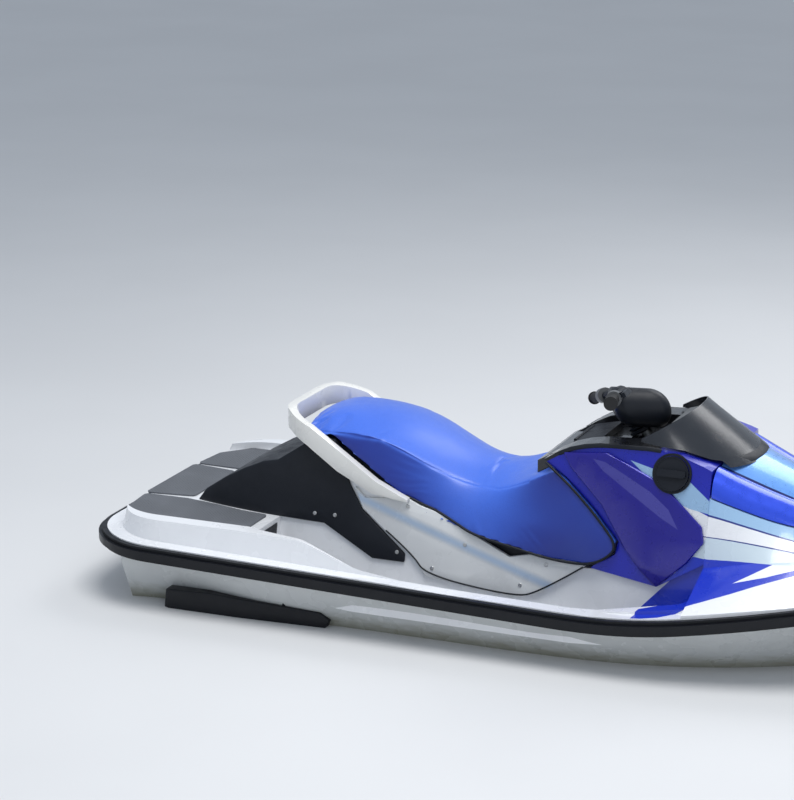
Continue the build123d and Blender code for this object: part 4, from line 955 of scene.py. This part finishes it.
@dataclass
class Saddle(Fitting):
    """The long padded seat, blown up like a covered foam core and sewn.

    The shoulder runs aft to fore along the starboard and port seams, each
    point with its x, its distance from the centreline and its height.
    """

    shrink: float = 0.006
    voxel: float = 0.006
    pressure: float = 4.0
    frames: int = 20
    swell: float = 0.014
    clear: float = 0.002
    neighbours: tuple[str, ...] = (
        "side_panel_starboard",
        "side_panel_port",
        "knee_panel_starboard",
        "knee_panel_port",
        "cowl",
        "grab_handle",
        "rear_cover",
        "glove_lid",
    )
    shoulder: tuple[Point, ...] = (
        (-0.94, 0.188, 0.536), (-0.85, 0.202, 0.548), (-0.64, 0.204, 0.538),
        (-0.48, 0.196, 0.470), (-0.25, 0.196, 0.424), (-0.14, 0.222, 0.470),
    )
    seam_depth: float = 0.0022
    seam_width: float = 0.006
    seam_reach: float = 0.06
    off_seam: float = 1.0
    below_seam: float = -0.1
    underside: float = -0.15
    nose: float = -0.06
    nose_slope: float = 0.45

    def build(self) -> None:
        """Makes the cushion that stands for the seat's solid."""
        cushion = copy_of(self.node("seat"), "seat_cushion")
        use_modifier(cushion, "REMESH", mode="VOXEL", voxel_size=self.voxel, use_smooth_shade=True)
        self.draw_in(cushion)
        self.inflate(cushion, self.skin(*self.neighbours))
        use_modifier(cushion, "SMOOTH", factor=0.5, iterations=4)
        self.sew(cushion)
        use_modifier(cushion, "SUBSURF", levels=1, render_levels=1)
        smooth(cushion, 60)
        self.finish(cushion, "seat_vinyl", "craft")
        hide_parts("seat")

    def draw_in(self, cushion: Body) -> None:
        """Pulls the cover in a little, so that it has room to swell.

        Args:
            cushion: The cover, remeshed.
        """
        normals = [v.normal.copy() for v in cushion.data.vertices]
        for vertex, normal in zip(cushion.data.vertices, normals):
            vertex.co -= normal * self.shrink

    def inflate(self, cushion: Body, around: Skin) -> None:
        """Swells the cover with cloth pressure, held along its underside.

        Args:
            cushion: The drawn-in cover.
            around: The hard pieces that it may not reach.
        """
        start = [v.co.copy() for v in cushion.data.vertices]
        held = cushion.vertex_groups.new(name="held")
        for vertex in cushion.data.vertices:
            under = vertex.normal.z < self.underside
            front = vertex.co.x > self.nose and vertex.normal.x > self.nose_slope
            if under or front:
                held.add([vertex.index], 1.0, "REPLACE")
        take(cushion)
        cloth = cushion.modifiers.new("Cloth", "CLOTH")
        cloth.settings.quality = 5
        cloth.settings.use_pressure = True
        cloth.settings.uniform_pressure_force = self.pressure
        cloth.settings.effector_weights.gravity = 0.0
        cloth.settings.vertex_group_mass = "held"
        cloth.collision_settings.use_self_collision = False
        scene = bpy.context.scene
        for number in range(1, self.frames + 1):
            scene.frame_set(number)
        bpy.ops.object.modifier_apply(modifier=cloth.name)
        scene.frame_set(1)
        for vertex, before in zip(cushion.data.vertices, start):
            move = vertex.co - before
            room = around.tree.find_nearest(before)[3] - self.clear
            most = max(0.0, min(self.swell, room))
            if move.length > most:
                vertex.co = before + move.normalized() * most

    def sew(self, cushion: Body) -> None:
        """Presses the sewn channel into each shoulder of the cover.

        Args:
            cushion: The swollen cover.
        """
        for vertex in cushion.data.vertices:
            away = self.seam_distance(vertex.co, vertex.normal)
            if away < self.seam_width * 2:
                press = math.exp(-((away / (self.seam_width * 0.5)) ** 2))
                vertex.co -= vertex.normal * self.seam_depth * press

    def seam_distance(self, point: Vector, normal: Vector) -> float:
        """Measures how far a point of the cover lies from the shoulder seam.

        Args:
            point: The point.
            normal: The cover's normal there.

        Returns:
            The distance, or a large number where there is no seam near.
        """
        if normal.z < self.below_seam:
            return self.off_seam
        for aft, fore in zip(self.shoulder, self.shoulder[1:]):
            if aft[0] <= point.x < fore[0]:
                share = (point.x - aft[0]) / (fore[0] - aft[0])
                out = abs(point.y) - (aft[1] + share * (fore[1] - aft[1]))
                rise = point.z - (aft[2] + share * (fore[2] - aft[2]))
                near = abs(out + rise) < self.seam_reach
                return abs(out - rise) / math.sqrt(2) if near else self.off_seam
        return self.off_seam


@dataclass
class SeatEdge(Fitting):
    """The black edging where the cover is stapled round its base."""

    line: tuple[Pair, ...] = (
        (-0.080, 0.536), (-0.013, 0.492), (0.040, 0.449), (0.086, 0.408), (0.130, 0.364),
        (0.164, 0.325), (0.160, 0.290), (0.090, 0.245), (-0.039, 0.243), (-0.171, 0.265),
        (-0.305, 0.284), (-0.371, 0.311), (-0.440, 0.340), (-0.495, 0.354), (-0.545, 0.372),
    )
    radius: float = 0.0042
    middle: Point = (-0.12, 0.0, 0.36)
    inset: float = 0.010
    sunk: float = 0.003

    def build(self) -> None:
        """Runs one length of edging along each side of the seat."""
        skin = self.skin("seat")
        width = 2 * self.radius
        for side in Side:
            points = []
            for x, z in self.line:
                inward = (Vector(self.middle) - Vector((x, 0.0, z))).normalized() * self.inset
                hit, _ = skin.beside(x + inward.x, z + inward.z, side)
                points.append(Vector((x, hit.y - side.value * self.sunk, z)))
            edge = swept(f"seat_edge_{side.word}", points, width, width)
            self.finish(edge, "trim_black", "craft")


@dataclass
class SteeringBoot(Fitting):
    """The rubber bellows round the steering neck, under the handlebar pad."""

    pivot: Point = (0.15, 0.0, 0.62)
    axis: Point = (-0.544639, 0.0, 0.8386706)
    rings: tuple[Pair, ...] = (
        (0.030, -0.018), (0.046, -0.014), (0.046, -0.008), (0.037, -0.004), (0.043, 0.001),
        (0.043, 0.006), (0.034, 0.010), (0.039, 0.015), (0.039, 0.020), (0.030, 0.024),
    )
    steps: int = 48
    wall: float = 0.002

    def build(self) -> None:
        """Spins the bellows' profile round the steering axis."""
        points = [Vector((radius, 0.0, height)) for radius, height in self.rings]
        edges = [(i, i + 1) for i in range(len(points) - 1)]
        boot = sketch("steering_boot", points, edges, [])
        use_modifier(
            boot,
            "SCREW",
            steps=self.steps,
            render_steps=self.steps,
            use_merge_vertices=True,
            merge_threshold=0.0001,
        )
        use_modifier(boot, "SOLIDIFY", thickness=self.wall, offset=-1.0)
        face_outward(boot)
        smooth(boot)
        boot.data.transform(stand_on(Vector(self.axis), Vector(self.pivot)))
        self.finish(boot, "trim_black", "handlebar")


@dataclass
class PanelSeam(Fitting):
    """The dark sealing bead along the lower edge of each side panel."""

    line: tuple[Pair, ...] = (
        (-0.604, 0.257), (-0.507, 0.194), (-0.459, 0.136), (-0.158, 0.110), (-0.078, 0.134),
        (0.062, 0.232),
    )
    radius: float = 0.0026

    def build(self) -> None:
        """Lays one bead on each side."""
        width = 2 * self.radius
        for side in Side:
            skin = self.skin(f"side_panel_{side.word}")
            points = [skin.beside(x, z, side)[0] for x, z in self.line]
            bead = swept(f"panel_seam_{side.word}", points, width, width)
            self.finish(bead, "trim_black", "craft")


@dataclass
class ShieldGasket(Fitting):
    """The black rubber strip that fills in under the windshield's front edge."""

    half: float = 0.115
    steps: int = 24
    top: float = 0.586
    thick: float = 0.004
    reach: float = 0.030
    ahead: float = 0.9
    proud: float = 0.003
    lift: float = 0.001

    def build(self) -> None:
        """Stands the strip on the hood, all along the windshield's foot."""
        shield = self.skin("windshield")
        hood = self.skin("hood")
        upper: list[Vector] = []
        lower: list[Vector] = []
        for number in range(self.steps + 1):
            y = self.half * (2 * number / self.steps - 1)
            start = Vector((self.ahead, y, self.top + self.thick))
            hit = shield.tree.ray_cast(start, Vector((-1, 0, 0)))[0]
            if hit is None:
                continue
            foot = hood.above(hit.x + self.reach, y)[0]
            upper.append(Vector((hit.x + self.proud, y, self.top)))
            lower.append(Vector((foot.x, y, foot.z + self.lift)))
        count = len(upper)
        faces = [(i, i + 1, count + i + 1, count + i) for i in range(count - 1)]
        strip = sketch("shield_gasket", upper + lower, [], faces)
        use_modifier(strip, "SOLIDIFY", thickness=self.thick, offset=0.0)
        use_modifier(strip, "BEVEL", width=self.thick * 0.3, segments=2, limit_method="ANGLE")
        face_outward(strip)
        smooth(strip, 40)
        self.finish(strip, "trim_black", "hood")


@dataclass
class CapGrip(Fitting):
    """The ring of finger ribs round the fuel cap."""

    ribs: int = 36
    proud: float = 0.0022
    depth: float = 0.012
    wall: float = 0.003
    inset: float = 0.001

    def build(self) -> None:
        """Sets the ribbed ring round the cap, square to it."""
        low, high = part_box("fuel_cap")
        middle = (Vector(low) + Vector(high)) / 2
        normal = self.skin("fuel_cap").beside(middle.x, middle.z, Side.STARBOARD)[1]
        radius = (high[0] - low[0]) / 2 - self.inset
        clear_selection()
        bpy.ops.mesh.primitive_cylinder_add(
            vertices=self.ribs * 4, radius=radius, depth=self.depth, end_fill_type="NOTHING"
        )
        ring = bpy.context.view_layer.objects.active
        ring.name = "cap_ribs"
        for vertex in ring.data.vertices:
            turn = math.atan2(vertex.co.y, vertex.co.x) * self.ribs
            swell = 1.0 + self.proud / radius * (0.5 + 0.5 * math.cos(turn))
            vertex.co.x *= swell
            vertex.co.y *= swell
        use_modifier(ring, "SOLIDIFY", thickness=self.wall, offset=-1.0)
        smooth(ring, 30)
        ring.data.transform(stand_on(normal, middle))
        self.finish(ring, "trim_black", "craft")


@dataclass
class RiserShadeSheet(Fitting):
    """A black sheet on the step at the aft end of each footwell, painted shade for the dark pocket
    there.
    """

    corners: tuple[Pair, ...] = ((0.384, 0.112), (0.384, 0.236), (0.256, 0.236), (0.270, 0.170))
    thick: float = 0.003
    clear: float = 0.0003
    ahead: float = -0.90

    def build(self) -> None:
        """Lays one black sheet of painted shade against the step on each side."""
        deck = self.skin("deck_shell")
        for side in Side:
            points = []
            for y, z in self.corners:
                start = Vector((self.ahead, y * side.value, z))
                hit = deck.tree.ray_cast(start, Vector((-1, 0, 0)))[0]
                points.append(hit + Vector((self.thick / 2 + self.clear, 0, 0)))
            # painted shade: a black sheet laid where the footwell's aft pocket is in shadow
            mat = sketch(f"mat_riser_{side.word}", points, [], [tuple(range(len(points)))])
            use_modifier(mat, "SOLIDIFY", thickness=self.thick, offset=0.0)
            use_modifier(mat, "BEVEL", width=self.thick * 0.3, segments=2, limit_method="ANGLE")
            face_outward(mat)
            self.finish(mat, "trim_black", "craft")


@dataclass
class SponsonPeg(Fitting):
    """The short post that stands on the starboard sponson."""

    place: Pair = (-0.846, -0.502)
    radius: float = 0.006
    height: float = 0.030
    sunk: float = 0.002
    rounding: float = 0.0008

    def build(self) -> None:
        """Stands the post on the sponson's upper face."""
        foot = self.skin("sponson_starboard").above(*self.place)[0]
        middle = foot + Vector((0, 0, self.height / 2 - self.sunk))
        clear_selection()
        bpy.ops.mesh.primitive_cylinder_add(
            vertices=24, radius=self.radius, depth=self.height, location=middle
        )
        peg = bpy.context.view_layer.objects.active
        peg.name = "sponson_peg"
        bpy.ops.object.transform_apply(location=True)
        select_faces(peg, lambda centre, normal: normal.z > FACES_UP)
        bpy.ops.mesh.inset(thickness=self.radius * 0.3, depth=0)
        bpy.ops.mesh.extrude_region_move(TRANSFORM_OT_translate={"value": (0, 0, self.radius)})
        bpy.ops.object.mode_set(mode="OBJECT")
        use_modifier(peg, "BEVEL", width=self.rounding, segments=2, limit_method="ANGLE")
        smooth(peg, 40)
        self.finish(peg, "trim_black", "craft")


@dataclass
class MouldedShells(Fitting):
    """The covers and panels with the soft edges that moulding leaves.

    Faces that meet within the flat angle are joined first, and edges sharper
    than the crease angle are rounded. Both are in degrees.
    """

    radii: tuple[tuple[str, float], ...] = (
        ("rear_cover", 0.009),
        ("knee_panel_starboard", 0.006),
        ("knee_panel_port", 0.006),
        ("side_panel_starboard", 0.003),
        ("side_panel_port", 0.003),
        ("sponson_starboard", 0.005),
        ("sponson_port", 0.005),
        ("grab_handle", 0.004),
    )
    flat: float = 0.5
    crease: float = 32.0

    def build(self) -> None:
        """Puts a rounded copy in the place of each CAD shell."""
        rows = self.frame["record"]["subparts"]
        slots = {row["node"]: row["material_slot"] for row in rows}
        for node, radius in self.radii:
            shell = copy_of(self.node(node), f"{node}_shell")
            take(shell)
            bpy.ops.object.mode_set(mode="EDIT")
            bpy.ops.mesh.select_all(action="SELECT")
            bpy.ops.mesh.dissolve_limited(angle_limit=math.radians(self.flat))
            bpy.ops.object.mode_set(mode="OBJECT")
            use_modifier(
                shell,
                "BEVEL",
                width=radius,
                segments=3,
                limit_method="ANGLE",
                angle_limit=math.radians(self.crease),
            )
            smooth(shell, self.crease)
            self.finish(shell, slots[node], "craft")
            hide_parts(node)


@dataclass
class CowlTrim(Fitting):
    """The rubber strip along the top edge of each side of the cowl."""

    line: tuple[Pair, ...] = (
        (-0.088, 0.541), (-0.049, 0.566), (-0.006, 0.588), (0.040, 0.602), (0.090, 0.611),
        (0.150, 0.615), (0.218, 0.617), (0.252, 0.620), (0.286, 0.621),
    )
    width: float = 0.014
    height: float = 0.007
    drop: float = 0.003
    proud: float = 0.15
    tuck: float = 0.6

    def build(self) -> None:
        """Lays one strip on each side, with its fore end tucked into the skin."""
        skin = self.skin("cowl")
        for side in Side:
            points = []
            for x, z in self.line:
                hit, normal = skin.beside(x, z - self.drop, side)
                points.append(hit + normal * self.height * self.proud)
            points[-1] -= normal * self.height * self.tuck
            strip = swept(f"cowl_trim_{side.word}", points, self.width, self.height)
            self.finish(strip, "trim_black", "craft")


@dataclass
class Screws(Fitting):
    """Pan-head screws that hold the side panels and the rear cover."""

    radius: float = 0.0065
    height: float = 0.0032
    sunk: float = 0.0004
    panel_places: tuple[Pair, ...] = (
        (-0.534, 0.342), (-0.334, 0.246), (-0.439, 0.160), (-0.141, 0.148), (-0.060, 0.222),
    )
    cover_places: tuple[Pair, ...] = ((-0.786, 0.281), (-0.858, 0.278), (-0.563, 0.193))

    def model(self) -> Body:
        """Models one screw head with a round socket.

        Returns:
            The head, standing at the origin.
        """
        clear_selection()
        bpy.ops.mesh.primitive_cylinder_add(
            vertices=24, radius=self.radius, depth=self.height, location=(0, 0, self.height / 2)
        )
        head = bpy.context.view_layer.objects.active
        bpy.ops.object.transform_apply(location=True)
        use_modifier(head, "BEVEL", width=self.height * 0.45, segments=3, limit_method="ANGLE")
        top = self.radius * 0.3 + self.height
        select_faces(head, lambda centre, normal: normal.z > FACES_UP and centre.length < top)
        bpy.ops.mesh.inset(thickness=self.radius * 0.28, depth=0)
        sink = (0, 0, -self.height * 0.5)
        bpy.ops.mesh.extrude_region_move(TRANSFORM_OT_translate={"value": sink})
        bpy.ops.object.mode_set(mode="OBJECT")
        smooth(head, 40)
        return head

    def build(self) -> None:
        """Sets every screw on the panel or cover that it holds."""
        pattern = self.model()
        jobs = {"side_panel": self.panel_places, "rear_cover": self.cover_places}
        for stem, places in jobs.items():
            for side in Side:
                node = stem if stem == "rear_cover" else f"{stem}_{side.word}"
                skin = self.skin(node)
                for number, (x, z) in enumerate(places, 1):
                    hit, normal = skin.beside(x, z, side)
                    name = f"screw_{stem}_{side.word}_{number}"
                    made = add_object(name, pattern.data.copy())
                    made.data.transform(stand_on(normal, hit - normal * self.sunk))
                    self.finish(made, "steel", "craft")
        bpy.data.objects.remove(pattern)


# ---- studio ----


@dataclass
class Studio:
    """The camera, the pale floor and the soft lamps.

    Each lamp has a name, a place, a target, a size and a power in watts.
    """

    camera_place: Point = (2.549, -7.631, 2.862)
    azimuth: float = 22.9
    elevation: float = 15.2
    lens: float = 120.285
    floor_size: float = 60.0
    floor_colour: Colour = (0.70, 0.70, 0.70)
    lamps: tuple[tuple[str, Point, Point, float, float], ...] = (
        ("key_lamp", (0.2, -1.2, 5.4), (-0.1, 0.0, 0.3), 3.0, 215.0),
        ("back_lamp", (1.2, 4.2, 4.4), (0.0, 0.0, 0.4), 3.0, 100.0),
        ("fill_lamp", (4.6, -5.0, 2.2), (0.0, 0.0, 0.3), 3.0, 34.0),
    )
    sky_colour: Colour = (0.78, 0.87, 1.0)
    sky: float = 0.55

    def place_camera(self) -> None:
        """Sets the camera where the photograph was taken from."""
        turn, tilt = math.radians(self.azimuth), math.radians(self.elevation)
        level = math.cos(tilt)
        ahead = Vector((-math.sin(turn) * level, math.cos(turn) * level, -math.sin(tilt)))
        data = bpy.data.cameras.new("camera")
        data.lens = self.lens
        data.sensor_width = 36.0
        data.clip_end = 200.0
        camera = add_object("camera", data)
        camera.location = self.camera_place
        camera.rotation_mode = "QUATERNION"
        camera.rotation_quaternion = ahead.to_track_quat("-Z", "Y")
        bpy.context.scene.camera = camera
        LOG.info("camera placed")

    def lay_floor(self) -> None:
        """Lays the pale floor at the waterline."""
        clear_selection()
        bpy.ops.mesh.primitive_plane_add(size=self.floor_size, location=(0, 0, 0))
        floor = bpy.context.view_layer.objects.active
        floor.name = "floor"
        shade = Shade("floor_paint")
        tone = shade.ramp(shade.noise(0.8, 3), 0.3, 0.7)
        darker = tuple(c * 0.97 for c in self.floor_colour)
        shade.put(Base_Color=shade.mix(tone, self.floor_colour, darker))
        shade.put(Roughness=0.7)
        floor.data.materials.append(shade.material)

    def hang_lamps(self) -> None:
        """Hangs the soft lamps and sets the pale surroundings."""
        for name, place, target, size, power in self.lamps:
            data = bpy.data.lights.new(name, "AREA")
            data.energy = power
            data.size = size
            lamp = add_object(name, data)
            lamp.location = place
            aim = Vector(target) - Vector(place)
            lamp.rotation_euler = aim.to_track_quat("-Z", "Y").to_euler()
        world = bpy.data.worlds.new("surroundings")
        bpy.context.scene.world = world
        world.use_nodes = True
        ground = world.node_tree.nodes["Background"]
        ground.inputs["Color"].default_value = (*self.sky_colour, 1.0)
        ground.inputs["Strength"].default_value = self.sky
        bpy.context.scene.view_settings.view_transform = "Standard"

    def build(self) -> None:
        """Sets up the whole studio."""
        self.place_camera()
        self.lay_floor()
        self.hang_lamps()


def main() -> None:
    """Builds the scene in order."""
    logging.basicConfig(level=logging.INFO, format="%(name)s: %(message)s")
    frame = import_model()
    Studio().build()
    shop = Paintshop()
    shop.dress_nodes(frame)
    fittings = (
        Saddle,
        MouldedShells,
        SeatEdge,
        SteeringBoot,
        PanelSeam,
        ShieldGasket,
        CapGrip,
        RiserShadeSheet,
        SponsonPeg,
        CowlTrim,
        Screws,
    )
    for fitting in fittings:
        fitting(frame, shop).build()
    clear_selection()


if __name__ == "__main__":
    main()
